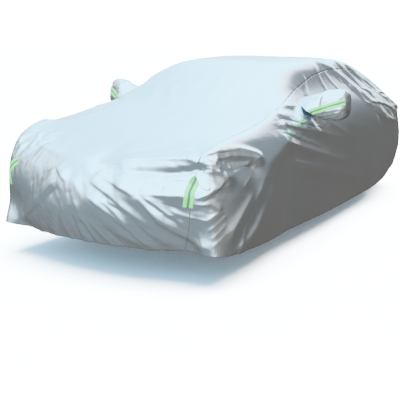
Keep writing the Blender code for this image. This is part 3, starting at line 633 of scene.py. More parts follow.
def fold_heights(points: np.ndarray, normals: np.ndarray, folds: Sequence[Fold]) -> np.ndarray:
    """How far folds lift each point.

    Args:
        points: A grid of points.
        normals: Their outward normals.
        folds: The table of folds.

    Returns:
        A height for each point, along its normal.
    """
    heights = np.zeros(points.shape[:-1])
    for fold in folds:
        path = fold.path
        runs = np.linalg.norm(np.diff(path, axis=0), axis=1)
        nearest = np.full(heights.shape, np.inf)
        along = np.zeros(heights.shape)
        side = np.ones(heights.shape)
        for i, run in enumerate(runs):
            way = (path[i + 1] - path[i]) / run
            reach = np.clip((points - path[i]) @ way, 0, run)
            apart = points - path[i] - reach[..., None] * way
            distance = np.linalg.norm(apart, axis=-1)
            closer = distance < nearest
            nearest = np.where(closer, distance, nearest)
            along = np.where(closer, (runs[:i].sum() + reach) / runs.sum(), along)
            below = (np.cross(way, normals) * apart).sum(axis=-1) / np.maximum(distance, 1e-9)
            side = np.where(closer, below, side)
        height = fold.start_height + (fold.end_height - fold.start_height) * along
        if fold.shape is not SOFT:
            taper = ramp(np.minimum(along, 1 - along), 0, FOLD_TAPER)
            height = height * taper * (2 - taper)
        if fold.shape is CREST:
            tip = CREST_TIP * fold.width
            rise = np.exp(-(np.sqrt(nearest**2 + tip**2) - tip) / (CREST_REACH * fold.width))
        elif fold.shape is TUCK:
            width = fold.width * (1 - (1 - TUCK_STEEP) * (0.5 + 0.5 * side))
            rise = bell(nearest, width)
        else:
            rise = bell(nearest, fold.width)
        heights += height * rise
    return heights


class Patch(NamedTuple):
    """A crinkled place on the cloth: its middle, reach, grain direction, crinkle size and height."""

    name: str
    middle: tuple
    reach: tuple
    grain: tuple
    size: float
    height: float


PATCHES = (
    Patch("left lip corner", (2.20, 0.74, 0.80), (0.14, 0.16, 0.10), (0.0, 1.0, -0.4), 0.045, 0.0060),
    Patch("right lip corner", (2.20, -0.66, 0.80), (0.22, 0.24, 0.14), (0.6, -0.6, -0.5), 0.050, 0.0070),
    Patch("round the left strip", (2.30, 0.68, 0.60), (0.16, 0.16, 0.16), (0.0, 1.0, -0.2), 0.040, 0.0030),
    Patch("front fascia", (2.36, 0.00, 0.42), (0.20, 0.80, 0.28), (0.0, 0.2, -1.0), 0.050, 0.0030),
    Patch("left rear quarter", (-1.70, 0.80, 1.00), (0.55, 0.20, 0.20), (-1.0, 0.0, -0.5), 0.050, 0.0060),
    Patch("under the left pocket", (0.80, 0.88, 0.94), (0.45, 0.16, 0.12), (1.0, 0.0, 0.25), 0.040, 0.0035),
    Patch("right side", (0.60, -0.90, 0.70), (1.60, 0.20, 0.45), (1.0, 0.0, 0.5), 0.070, 0.0035),
    Patch("tail", (-2.40, 0.00, 0.60), (0.20, 0.80, 0.40), (0.0, 0.4, -1.0), 0.060, 0.0045),
)
# A crinkle is this many times longer along the grain than across it.
GRAIN_STRETCH = 3.2
# How sharp a crinkle's crest is, and how far apart in the noise the patterns of two seeds lie.
RIDGE_SHARPNESS = 2.6
SEED_STEP = 7.31
# The calm waves of the whole cloth, and the share below which a crinkled place is left out.
CALM_SIZE = 0.16
CALM_HEIGHT = 0.0016
FAINTEST = 0.02


def ridged(points: np.ndarray, grain: Sequence[float], size: float, seed: int) -> np.ndarray:
    """Crinkles with narrow crests, from -1 to 1.

    Args:
        points: A grid of points.
        grain: The way in which the crinkles run.
        size: How far apart they are.
        seed: Which of many alike patterns to take.

    Returns:
        A value for each point.
    """
    way = unit(np.array(grain, float))
    along = points @ way
    stretched = points - along[..., None] * way * (1 - 1 / GRAIN_STRETCH)
    flat = (stretched / size + seed * SEED_STEP).reshape(-1, 3)
    values = np.fromiter((noise.noise(Vector(place)) for place in flat), float, len(flat))
    return (1 - RIDGE_SHARPNESS * np.abs(values)).reshape(points.shape[:-1])


def crinkle_heights(points: np.ndarray) -> np.ndarray:
    """How far the crinkled places and the calm waves of the whole cloth lift each point."""
    heights = CALM_HEIGHT * ridged(points, (1.0, 0.0, 0.0), CALM_SIZE, 1)
    for seed, patch in enumerate(PATCHES, start=2):
        distance = ((points - patch.middle) / patch.reach) ** 2
        share = np.exp(-distance.sum(axis=-1))
        near = share > FAINTEST
        if near.any():
            heights[near] += share[near] * patch.height * ridged(points[near], patch.grain, patch.size, seed)
    return heights


def swing(run: np.ndarray, *waves: tuple) -> np.ndarray:
    """An uneven swing along a run: a sum of waves, each with its height, rate and shift."""
    return sum(height * np.sin(run * rate + shift) for height, rate, shift in waves)


@dataclass(frozen=True)
class HemGather:
    """Small gathers where the elastic in the hem draws the cloth in."""

    pitch: float = 0.019
    height: float = 0.0018
    fade: float = 0.040
    calm: float = 0.55
    calm_fade: float = 0.060

    def heights(self, run: np.ndarray, rise: np.ndarray, share: Any) -> np.ndarray:
        """How far the gathers lift points at a run along the hem and a rise above it, by their share."""
        wander = swing(run, (0.9, 7.3, 0.0), (0.6, 17.9, 1.3))
        waves = np.sin(2 * math.pi * run / self.pitch + wander * 2.2)
        uneven = 0.65 + swing(run, (0.35, 11.1, 0.7))
        return self.height * share * waves * uneven * bell(rise, self.fade, 1.5)

    def share_left(self, rise: np.ndarray) -> np.ndarray:
        """How much of the folds' height the elastic leaves at each point."""
        return 1 - self.calm * bell(rise, self.calm_fade)


@dataclass(frozen=True)
class SeamPucker:
    """The welt of a sewn seam, and the small puckers that its stitches leave beside it."""

    welt_width: float = 0.007
    welt_height: float = 0.0005
    welt_edge: float = 0.0012
    groove: float = 0.0005
    groove_width: float = 0.012
    pitch: float = 0.034
    height: float = 0.0007
    fade: float = 0.028

    def heights(self, run: np.ndarray, apart: np.ndarray) -> np.ndarray:
        """How far the seam lifts points at a run along it and some way apart from it."""
        welt = self.welt_height / (1 + np.exp((apart - self.welt_width) / self.welt_edge))
        wander = swing(run, (1.0, 9.1, 0.0), (0.7, 23.0, 0.4))
        puckers = np.sin(2 * math.pi * run / self.pitch + 1.8 * wander)
        groove = -self.groove * bell(apart, self.groove_width)
        return welt + groove + self.height * puckers * bell(apart, self.fade)


# ---- Meshes ----


def linked(name: str, data: Any) -> bpy.types.Object:
    """A new object with the given data, linked to the scene."""
    obj = bpy.data.objects.new(name, data)
    bpy.context.scene.collection.objects.link(obj)
    return obj


def mesh_object(name: str, mesh: bmesh.types.BMesh) -> bpy.types.Object:
    """A new object from a finished mesh under construction, which is freed."""
    data = bpy.data.meshes.new(name)
    mesh.to_mesh(data)
    mesh.free()
    return linked(name, data)


def cut_hole(mesh: bmesh.types.BMesh, spots: np.ndarray, hole: tuple) -> None:
    """Delete the faces of a grid between the first and last lines of a hole, along and down it."""
    (a, b), (c, d) = hole
    held = (spots[:, 0] >= a) & (spots[:, 0] <= b) & (spots[:, 1] >= c) & (spots[:, 1] <= d)
    inside = [face for face in mesh.faces if all(held[vertex.index] for vertex in face.verts)]
    bmesh.ops.delete(mesh, geom=inside, context="FACES")


def grid_object(
    name: str,
    points: np.ndarray,
    outward: np.ndarray,
    hole: tuple | None = None,
    wrap: bool = False,
) -> bpy.types.Object:
    """An open sheet through a grid of points, with a UV map in metres of cloth.

    Args:
        name: The object's name.
        points: The grid, in the tables' frame.
        outward: A direction for each point that its face's normal has to agree with.
        hole: First and last lines of a hole, along and down the grid.
        wrap: True where the last column meets the first.

    Returns:
        The object, linked to the scene, with its faces turned outwards.
    """
    rows, columns = points.shape[:2]
    mesh = bmesh.new()
    bmesh.ops.create_grid(mesh, x_segments=columns - 1, y_segments=rows - 1, size=1.0)
    mesh.verts.index_update()
    place_of = mesh.verts.layers.int.new("place")
    for vertex, place in zip(mesh.verts, (points - ORIGIN).reshape(-1, 3)):
        vertex[place_of] = vertex.index
        vertex.co = place
    if hole:
        cut_hole(mesh, np.array(list(np.ndindex(rows, columns))), hole)
    along = run_length(points[:, columns // 2])
    across = run_length(points[rows // 2])
    cloth_map = mesh.loops.layers.uv.new("cloth")
    for face in mesh.faces:
        face.smooth = True
        for loop in face.loops:
            row, column = divmod(loop.vert[place_of], columns)
            loop[cloth_map].uv = (across[column], along[row])
    if wrap:
        bmesh.ops.remove_doubles(mesh, verts=mesh.verts[:], dist=1e-5)
    mesh.normal_update()
    directions = outward.reshape(-1, 3)
    agree = 0.0
    for face in mesh.faces:
        agree += face.normal.dot(Vector(directions[face.verts[0][place_of]])) * face.calc_area()
    if agree < 0:
        bmesh.ops.reverse_faces(mesh, faces=mesh.faces[:])
    mesh.verts.layers.int.remove(place_of)
    return mesh_object(name, mesh)


def thicken(obj: bpy.types.Object, thickness: float) -> None:
    """Give an open sheet its thickness, inwards from its outer face."""
    solid = obj.modifiers.new("thickness", "SOLIDIFY")
    solid.thickness = thickness
    solid.offset = -1.0
    solid.use_even_offset = False
    bpy.ops.object.select_all(action="DESELECT")
    obj.select_set(True)
    bpy.context.view_layer.objects.active = obj
    bpy.ops.object.modifier_apply(modifier=solid.name)


def search_tree(objects: Sequence[bpy.types.Object]) -> BVHTree:
    """A search tree over the faces of the given objects."""
    points = []
    faces = []
    for obj in objects:
        first = len(points)
        points.extend(vertex.co.copy() for vertex in obj.data.vertices)
        faces.extend([first + corner for corner in face.vertices] for face in obj.data.polygons)
    return BVHTree.FromPolygons(points, faces)


def nearest_on_line(points: np.ndarray, line: np.ndarray) -> tuple[np.ndarray, np.ndarray]:
    """How far points lie from a line, and where along it.

    Args:
        points: A grid of points.
        line: The line's points, in order.

    Returns:
        The distance of each point, and how far along the line its nearest place is.
    """
    flat = points.reshape(-1, 3)
    runs = run_length(line)
    distance = np.full(len(flat), np.inf)
    along = np.zeros(len(flat))
    for start in range(0, len(flat), 4000):
        part = flat[start:start + 4000]
        apart = np.linalg.norm(part[:, None] - line[None], axis=-1)
        best = apart.argmin(axis=1)
        low = np.clip(best - 1, 0, len(line) - 2)
        for first in (low, np.clip(best, 0, len(line) - 2)):
            leg = line[first + 1] - line[first]
            length = np.maximum(np.linalg.norm(leg, axis=1), 1e-9)
            share = np.clip(((part - line[first]) * leg).sum(axis=1) / length**2, 0, 1)
            gap = np.linalg.norm(part - line[first] - share[:, None] * leg, axis=1)
            closer = gap < distance[start:start + 4000]
            distance[start:start + 4000] = np.where(closer, gap, distance[start:start + 4000])
            place = runs[first] + share * length
            along[start:start + 4000] = np.where(closer, place, along[start:start + 4000])
    return distance.reshape(points.shape[:-1]), along.reshape(points.shape[:-1])


# ---- Finishes ----


class Term:
    """A shader value that takes part in Python arithmetic, each step adding a Math node."""

    def __init__(self, tree: bpy.types.NodeTree, socket: Any) -> None:
        self.tree = tree
        self.socket = socket

    def _math(self, operation: str, *terms: Any) -> "Term":
        """A Math node on the given terms, in order."""
        node = self.tree.nodes.new("ShaderNodeMath")
        node.operation = operation
        for socket, term in zip(node.inputs, terms):
            feed(self.tree, socket, term)
        return Term(self.tree, node.outputs[0])

    def __add__(self, other: Any) -> "Term":
        return self._math("ADD", self, other)

    def __radd__(self, other: Any) -> "Term":
        return self._math("ADD", other, self)

    def __sub__(self, other: Any) -> "Term":
        return self._math("SUBTRACT", self, other)

    def __rsub__(self, other: Any) -> "Term":
        return self._math("SUBTRACT", other, self)

    def __mul__(self, other: Any) -> "Term":
        return self._math("MULTIPLY", self, other)

    def __abs__(self) -> "Term":
        return self._math("ABSOLUTE", self)

    def sine(self) -> "Term":
        """The sine of this value, in radians."""
        return self._math("SINE", self)

    def held(self) -> "Term":
        """This value, held between zero and one."""
        return self._math("MINIMUM", self._math("MAXIMUM", self, 0.0), 1.0)


def feed(tree: bpy.types.NodeTree, socket: bpy.types.NodeSocket, value: Any) -> None:
    """Link a term to an input socket, or set a plain value on it."""
    if isinstance(value, Term):
        tree.links.new(value.socket, socket)
    else:
        socket.default_value = value


class Graph:
    """A node tree under construction."""

    def __init__(self, tree: bpy.types.NodeTree) -> None:
        self.tree = tree

    def node(self, kind: str, settings: dict | None = None, sockets: dict | None = None) -> Any:
        """Add a node.

        Args:
            kind: The node's type.
            settings: Its properties, set first.
            sockets: Values or terms for its inputs, by name or number.

        Returns:
            The node.
        """
        made = self.tree.nodes.new(kind)
        for key, value in (settings or {}).items():
            setattr(made, key, value)
        for key, value in (sockets or {}).items():
            feed(self.tree, made.inputs[key], value)
        return made

    def term(self, node: Any, output: Any = 0) -> Term:
        """A node's output as a term."""
        return Term(self.tree, node.outputs[output])

    def blend(self, share: Term, low: Any, high: Any) -> Term:
        """A colour between two, by a share from 0 to 1."""
        node = self.node("ShaderNodeMix", {"data_type": "RGBA"}, {0: share, 6: low, 7: high})
        return self.term(node, 2)


class Surface(Graph):
    """A node material under construction."""

    def __init__(self, name: str) -> None:
        self.material = bpy.data.materials.new(name)
        self.material.use_nodes = True
        super().__init__(self.material.node_tree)
        self.shader = self.tree.nodes["Principled BSDF"]

    def set(self, **sockets: Any) -> None:
        """Set or link sockets of the Principled shader, named with underscores for spaces."""
        for key, value in sockets.items():
            feed(self.tree, self.shader.inputs[key.replace("_", " ")], value)

    def cloth_map(self) -> Term:
        """The cloth's own coordinates, in metres across and along it."""
        return self.term(self.node("ShaderNodeUVMap", {"uv_map": "cloth"}))

    def cloth_place(self) -> tuple[Term, Term]:
        """How far across and how far along the cloth a place is, in metres."""
        parts = self.node("ShaderNodeSeparateXYZ", sockets={"Vector": self.cloth_map()})
        return self.term(parts, "X"), self.term(parts, "Y")

    def noise(self, scale: float, detail: float = 3.0, distortion: float = 0.0) -> Term:
        """Noise from 0 to 1, with scale features to the metre."""
        place = self.term(self.node("ShaderNodeTexCoord"), "Object")
        sockets = {"Vector": place, "Scale": scale, "Detail": detail, "Distortion": distortion}
        return self.term(self.node("ShaderNodeTexNoise", sockets=sockets), "Fac")

    def waves(self, place: Term, pitch: float) -> Term:
        """A wave from -1 to 1 along a place in metres."""
        return (place * (2 * math.pi / pitch)).sine()

    def bump(self, height: Term, distance: float, strength: float, under: Term | None = None) -> Term:
        """A normal from a height, on top of another where one is given."""
        sockets: dict = {"Height": height, "Distance": distance, "Strength": strength}
        if under is not None:
            sockets["Normal"] = under
        return self.term(self.node("ShaderNodeBump", sockets=sockets))


class Relief(NamedTuple):
    """A bump's depth in metres and its strength."""

    depth: float
    strength: float


@dataclass(frozen=True)
class SilverCloth:
    """Woven polyester with a thin silver coating."""

    bright: tuple = (0.90, 0.92, 0.94, 1.0)
    worn: tuple = (0.80, 0.82, 0.84, 1.0)
    metallic: float = 0.97
    smoothest: float = 0.12
    unevenness: float = 0.05
    yarn: float = 0.0016
    crease_scale: float = 9.0
    crinkle_scale: float = 38.0
    cloud_scale: float = 2.2
    creases: Relief = Relief(0.0024, 0.10)
    crinkles: Relief = Relief(0.0008, 0.06)
    weave: Relief = Relief(0.00012, 0.20)

    def make(self) -> bpy.types.Material:
        """Build the material."""
        surface = Surface("silver_cloth")
        across, along = surface.cloth_place()
        weave = surface.waves(across, self.yarn) * surface.waves(along, self.yarn) * 0.5 + 0.5
        crease = surface.noise(self.crease_scale, 6.0, 1.4)
        crinkle = surface.noise(self.crinkle_scale, 5.0, 0.8)
        sharp = abs(crease - 0.5) * 2.0
        cloudy = surface.noise(self.cloud_scale)
        share = (cloudy * 0.7 + crinkle * 0.5).held()
        folds = surface.bump(sharp, *self.creases)
        fine = surface.bump(crinkle, *self.crinkles, folds)
        surface.set(
            Base_Color=surface.blend(share, self.worn, self.bright),
            Metallic=self.metallic,
            Roughness=(self.smoothest + crinkle * self.unevenness + cloudy * self.unevenness).held(),
            Normal=surface.bump(weave, *self.weave, fine),
        )
        return surface.material


@dataclass(frozen=True)
class GlowTape:
    """Fluorescent green tape, with a fine honeycomb under its clear face and a painted glow of its own green.
    """

    colour: tuple = (0.14, 0.92, 0.10, 1.0)
    deep: tuple = (0.08, 0.70, 0.06, 1.0)
    # Strength of the painted glow: the tape gives off light of its own, though it is no lamp.
    glow: float = 0.9
    cell: float = 0.0035
    cell_order: float = 0.08
    rim_sharpness: float = 9.0
    coat: float = 0.35
    soil_scale: float = 14.0
    cells: Relief = Relief(0.0003, 0.5)
    dents: Relief = Relief(0.002, 0.4)

    def make(self) -> bpy.types.Material:
        """Build the material."""
        surface = Surface("green_tape")
        sockets = {"Vector": surface.cloth_map(), "Scale": 1 / self.cell, "Randomness": self.cell_order}
        cells = surface.term(surface.node("ShaderNodeTexVoronoi", {"feature": "DISTANCE_TO_EDGE"}, sockets))
        rim = (cells * self.rim_sharpness).held()
        soil = surface.noise(self.soil_scale, 4.0)
        surface.set(
            Base_Color=surface.blend((rim * 0.6 + soil * 0.5).held(), self.deep, self.colour),
            Roughness=(0.30 + soil * 0.25).held(),
            Coat_Weight=self.coat,
            # Painted glow: the tape shines with light of its own green, though it is no lamp.
            Emission_Color=self.colour,
            Emission_Strength=self.glow,
            Normal=surface.bump(rim, *self.cells, surface.bump(soil, *self.dents)),
        )
        return surface.material


@dataclass(frozen=True)
class DarkTape:
    """Grey reflective tape with fine ribs across it."""

    colour: tuple = (0.12, 0.19, 0.08, 1.0)
    worn: tuple = (0.18, 0.27, 0.12, 1.0)
    rib: float = 0.003
    soil_scale: float = 22.0
    ribs: Relief = Relief(0.0002, 0.4)

    def make(self) -> bpy.types.Material:
        """Build the material."""
        surface = Surface("dark_tape")
        _, along = surface.cloth_place()
        ribs = surface.waves(along, self.rib) * 0.5 + 0.5
        soil = surface.noise(self.soil_scale, 4.0)
        surface.set(
            Base_Color=surface.blend(soil, self.colour, self.worn),
            Metallic=0.0,
            Roughness=(0.60 + soil * 0.2).held(),
            Normal=surface.bump(ribs, *self.ribs),
        )
        return surface.material


@dataclass(frozen=True)
class Thread:
    """Pale polyester sewing thread."""

    colour: tuple = (0.62, 0.66, 0.68, 1.0)
    shade: tuple = (0.45, 0.49, 0.52, 1.0)
    fibre_scale: float = 900.0
    fibres: Relief = Relief(0.0002, 0.5)

    def make(self) -> bpy.types.Material:
        """Build the material."""
        surface = Surface("thread")
        fibre = surface.noise(self.fibre_scale, 2.0)
        surface.set(
            Base_Color=surface.blend(fibre, self.shade, self.colour),
            Roughness=(0.50 + fibre * 0.2).held(),
            Normal=surface.bump(fibre, *self.fibres),
        )
        return surface.material


@dataclass(frozen=True)
class Palette:
    """The finishes of the cover."""

    cloth: bpy.types.Material
    green: bpy.types.Material
    dark: bpy.types.Material
    thread: bpy.types.Material

    @staticmethod
    def mix() -> "Palette":
        """Make every finish."""
        return Palette(SilverCloth().make(), GlowTape().make(), DarkTape().make(), Thread().make())


# ---- Sub-assemblies ----


class Side(Enum):
    """The cover's two sides, with the sign of Y there."""

    LEFT = 1
    RIGHT = -1

    @property
    def word(self) -> str:
        """The side's name in lower case."""
        return self.name.lower()


def dress(obj: bpy.types.Object, finish: bpy.types.Material, slot: str, *nodes: str) -> None:
    """Give a piece its finish and its body, and hide the solids that it stands for."""
    obj.data.materials.clear()
    obj.data.materials.append(finish)
    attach(obj, "root")
    if nodes:
        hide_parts(*nodes)
    log.info("%s: %d faces", obj.name, len(obj.data.polygons))


@dataclass
class Shell:
    """The cover's three long panels."""

    form: CoverForm
    sheet: float = 0.0012
    lap: float = 0.005
    lap_drop: float = 1.1
    # The fine folds' share that is smoothed away at a strip, and how far out, as a share of its width.
    strip_calm: float = 0.85
    strip_reach: float = 0.8
    # The share of their puckers that the seams lose on the front, from which X and over what length.
    plain_share: float = 0.75
    plain_from: tuple = (2.0, 0.15)
    # How strongly the hem is drawn in along the sides. It is drawn in fully at both ends, from a place
    # ahead or behind and over a length.
    side_gather: float = 0.25
    front_gather: tuple = (1.9, 0.3)
    rear_gather: tuple = (2.1, 0.2)
    centre_steps: tuple = (
        (0.0, 3.0, 96), (3.0, 4.2, 30), (4.2, 6.0, 40), (6.0, 13.0, 104), (13.0, 15.0, 24), (15.0, 17.0, 34),
    )
    across_count: int = 146
    station_steps: tuple = (
        (0.0, 1.0, 34), (1.0, 3.0, 62), (3.0, 5.0, 60), (5.0, 5.4, 16), (5.4, 8.0, 68), (8.0, 12.0, 92),
    )
    level_steps: tuple = ((0.0, 0.5, 20), (0.5, 1.25, 28), (1.25, 4.0, 92))
    gather: HemGather = field(default_factory=HemGather)
    pucker: SeamPucker = field(default_factory=SeamPucker)
    objects: dict = field(default_factory=dict)
    loops: dict = field(default_factory=dict)

    def seam_line(self, side: Side) -> np.ndarray:
        """The seam between the centre panel and one side panel, from front to rear."""
        line = self.form.seam(np.linspace(0, len(CENTRE_ROWS) - 1, 900))
        line = line - self.form.hem_drops(line)[:, None] * (0, 0, 1)
        return line * (1, side.value, 1)

    def hem_line(self) -> np.ndarray:
        """The hem, once round the cover from the middle of the front."""
        half = np.linspace(0, 1, 60)
        stations = np.linspace(0, 12, 500)
        front = self.form.centre([0.0], half)[0]
        left = self.form.side(stations, np.array([4.0]))[:, 0]
        rear = self.form.centre([len(CENTRE_ROWS) - 1.0], half[::-1])[0]
        line = np.concatenate([front, left[1:], rear[1:]])
        line = np.concatenate([line, line[-2::-1] * (1, -1, 1)])
        return line - self.form.hem_drops(line)[:, None] * (0, 0, 1)

    def relief(self, points: np.ndarray, normals: np.ndarray) -> np.ndarray:
        """The height of every fold, crinkle, pucker and gather at each point.

        Args:
            points: A grid of points on the smooth form.
            normals: Their outward normals.

        Returns:
            A height for each point, along its normal.
        """
        heights = fold_heights(points, normals, FINE_FOLDS) + crinkle_heights(points)
        for strip in STRIPS:
            apart, _ = nearest_on_line(points, np.array(strip.path))
            heights *= 1 - self.strip_calm * bell(apart, self.strip_reach * strip.width, 4)
        heights += fold_heights(points, normals, MAIN_FOLDS)
        rise, run = nearest_on_line(points, self.hem_line())
        heights *= self.gather.share_left(rise)
        ahead = points[..., 0]
        plain = 1 - self.plain_share * ramp(ahead, *self.plain_from)
        for side in Side:
            apart, seam_run = nearest_on_line(points, self.seam_line(side))
            heights += self.pucker.heights(seam_run, apart) * plain
        ends = np.maximum(ramp(ahead, *self.front_gather), ramp(-ahead, *self.rear_gather))
        heights += self.gather.heights(run, rise, self.side_gather + (1 - self.side_gather) * ends)
        return heights - COAT

    def raised(self, points: np.ndarray) -> tuple[np.ndarray, np.ndarray]:
        """A smooth grid with its hem drops and its relief, and its outward normals."""
        points = points - self.form.hem_drops(points)[..., None] * (0, 0, 1)
        normals = grid_normals(points)
        return points + self.relief(points, normals)[..., None] * normals, normals

    def build(self, palette: Palette) -> None:
        """Make the three panels and keep the edges of the side panels' holes."""
        rows = lines_of(self.centre_steps)
        across = np.linspace(-1, 1, self.across_count + 1)
        points, normals = self.raised(self.form.centre(rows, across))
        centre = grid_object("centre_panel_cloth", points, normals)
        thicken(centre, self.sheet)
        dress(centre, palette.cloth, "silver_cloth", "centre_panel")
        self.objects["centre"] = centre
        stations = lines_of(self.station_steps)
        levels = lines_of(self.level_steps)
        smooth = self.form.side(stations, levels)
        along = [int(np.argmin(np.abs(stations - place))) for place in HOLE_STATIONS]
        down = [int(np.argmin(np.abs(levels - place))) for place in HOLE_LEVELS]
        (a, b), (c, d) = along, down
        for side in Side:
            points, normals = self.raised(smooth * (1, side.value, 1))
            edge = [points[a:b, c], points[b, c:d], points[b:a:-1, d], points[a, d:c:-1]]
            self.loops[side] = np.concatenate(edge)
            points = self.lapped(points, normals)
            panel = grid_object(f"side_panel_{side.word}_cloth", points, normals, (along, down))
            thicken(panel, self.sheet)
            dress(panel, palette.cloth, "silver_cloth", f"side_panel_{side.word}")
            self.objects[side] = panel

    def lapped(self, points: np.ndarray, normals: np.ndarray) -> np.ndarray:
        """A side panel with its edges along the seam drawn a little way under the centre panel."""
        under = points.copy()
        under[1:-1, 0] += unit(points[1:-1, 0] - points[1:-1, 1]) * self.lap
        under[0, :] += unit(points[0, :] - points[1, :]) * self.lap
        under[-1, :] += unit(points[-1, :] - points[-2, :]) * self.lap
        for line in (np.s_[1:-1, 0], np.s_[0, :], np.s_[-1, :]):
            under[line] -= normals[line] * self.sheet * self.lap_drop
        return under


@dataclass
class Pocket:
    """A hollow pocket sewn over the hole of one side panel."""

    side: Side
    rib_count: int = 15
    rib_height: float = 0.0035
    gather_count: int = 34
    gather_height: float = 0.0022
    # Where the gathers are strongest and how far they reach, as shares of the way out.
    gather_place: float = 0.14
    gather_reach: float = 0.07
    crinkle: float = 0.0030
    # Its crinkles: their grain, their size and their share of the height.
    crinkles: tuple = (((0.2, 1.0, 0.3), 0.045, 1.0), ((0.6, 0.3, 1.0), 0.020, 0.5))
    first_seed: int = 31
    ring_count: int = 64
    sheet: float = 0.0012

    def out(self, reach: float) -> float:
        """The Y of a ring that lies so far out on the left pocket."""
        share = 1.0 if self.side is Side.LEFT else RIGHT_POCKET_SHARE
        return self.side.value * (POCKET_ROOT_Y + (reach - POCKET_ROOT_Y) * share)

    def rings(self, loop: np.ndarray) -> np.ndarray:
        """The pocket's rings, from the hole's edge out to its tip.

        Args:
            loop: The points of the hole's edge, in order.

        Returns:
            For each ring, a point for each point of the edge.
        """
        middle = loop.mean(axis=0)
        spread = (loop - middle)[:, [0, 2]]
        spread = spread / np.abs(spread).max(axis=0)
        length = (np.abs(spread) ** POCKET_ROUNDNESS).sum(axis=1) ** (1 / POCKET_ROUNDNESS)
        spread = spread / length[:, None]
        turns = np.cross(loop - middle, np.roll(loop, -1, axis=0) - middle).sum(axis=0)
        way_out = unit(turns) * (1 if turns[1] * self.side.value > 0 else -1)
        lean = 1 - POCKET_LEAN * ramp(spread[:, 1], -0.3, 1.3) * (spread[:, 0] > 0)
        foot = np.outer(spread[:, 1] * FOOT_HEIGHT, np.cross((self.side.value, 0, 0), way_out))
        foot += middle + way_out * FOOT_RISE
        foot[:, 0] = FOOT_X + FOOT_DEPTH * spread[:, 0] * lean
        rings = [loop + unit(middle - loop) * COAT, foot]
        for ring in POCKET_RINGS:
            x = ring.mid_x + ring.half_depth * spread[:, 0] * lean
            z = ring.mid_z + ring.half_height * spread[:, 1]
            rings.append(np.stack([x, np.full_like(x, self.out(ring.reach_y)), z], -1))
        last = POCKET_RINGS[-1]
        rings.append(np.tile([last.mid_x, self.out(POCKET_TIP_Y), last.mid_z], (len(loop), 1)))
        return np.array(rings)

    def normals(self, points: np.ndarray) -> np.ndarray:
        """Outward normals of the pocket's points, which close up round it."""
        around = np.roll(points[:, :-1], -1, axis=1) - np.roll(points[:, :-1], 1, axis=1)
        around = np.concatenate([around, around[:, :1]], axis=1)
        normals = np.cross(np.gradient(points, axis=0), around)
        normals[-1] = (0, self.side.value, 0)
        normals = unit(normals)
        last = POCKET_RINGS[-1]
        outward = points - np.array([last.mid_x, self.side.value * POCKET_BODY_Y, last.mid_z])
        if (normals * outward).sum() < 0:
            normals[:-1] *= -1
        return normals

    def build(self, shell: Shell, palette: Palette) -> None:
        """Make the pocket.

        Args:
            shell: The panels, whose hole the pocket stands in.
            palette: The finishes.
        """
        rings = self.rings(shell.loops[self.side])
        places = np.linspace(0, len(rings) - 1, self.ring_count + 1)
        points = spline(np.arange(len(rings)), rings, places)
        points = np.concatenate([points, points[:, :1]], axis=1)
        normals = self.normals(points)
        points = points + self.relief(points, places)[..., None] * normals
        points[:, -1] = points[:, 0]
        pocket = grid_object(f"mirror_pocket_{self.side.word}_cloth", points, normals, wrap=True)
        thicken(pocket, self.sheet)
        dress(pocket, palette.cloth, "silver_cloth", f"mirror_pocket_{self.side.word}")
        shell.objects[f"pocket_{self.side.word}"] = pocket

    def relief(self, points: np.ndarray, places: np.ndarray) -> np.ndarray:
        """Heights of the gathers, ribs and crinkles on the pocket's cloth."""
        last = len(POCKET_RINGS) + 2
        share = places[:, None] / last
        middle = POCKET_RINGS[2]
        turn = np.arctan2(points[..., 2] - middle.mid_z, points[..., 0] - middle.mid_x)
        low = np.clip(-np.sin(turn), 0, 1)
        body = ramp(share, 0, 0.25) * ramp(-share, -1, 0.2)
        ribs = np.sin(turn * self.rib_count * 2 + swing(turn, (0.8, 5, 0)))
        gathers = np.sin(turn * self.gather_count + swing(turn, (1.2, 7, 0)))
        heights = self.rib_height * ribs * low * body
        heights += self.gather_height * gathers * bell(share - self.gather_place, self.gather_reach)
        for seed, (grain, size, height) in enumerate(self.crinkles, self.first_seed):
            heights += height * self.crinkle * ridged(points, grain, size, seed) * body
        edge = ramp(share, 0, 0.05)
        return heights * edge - COAT * edge


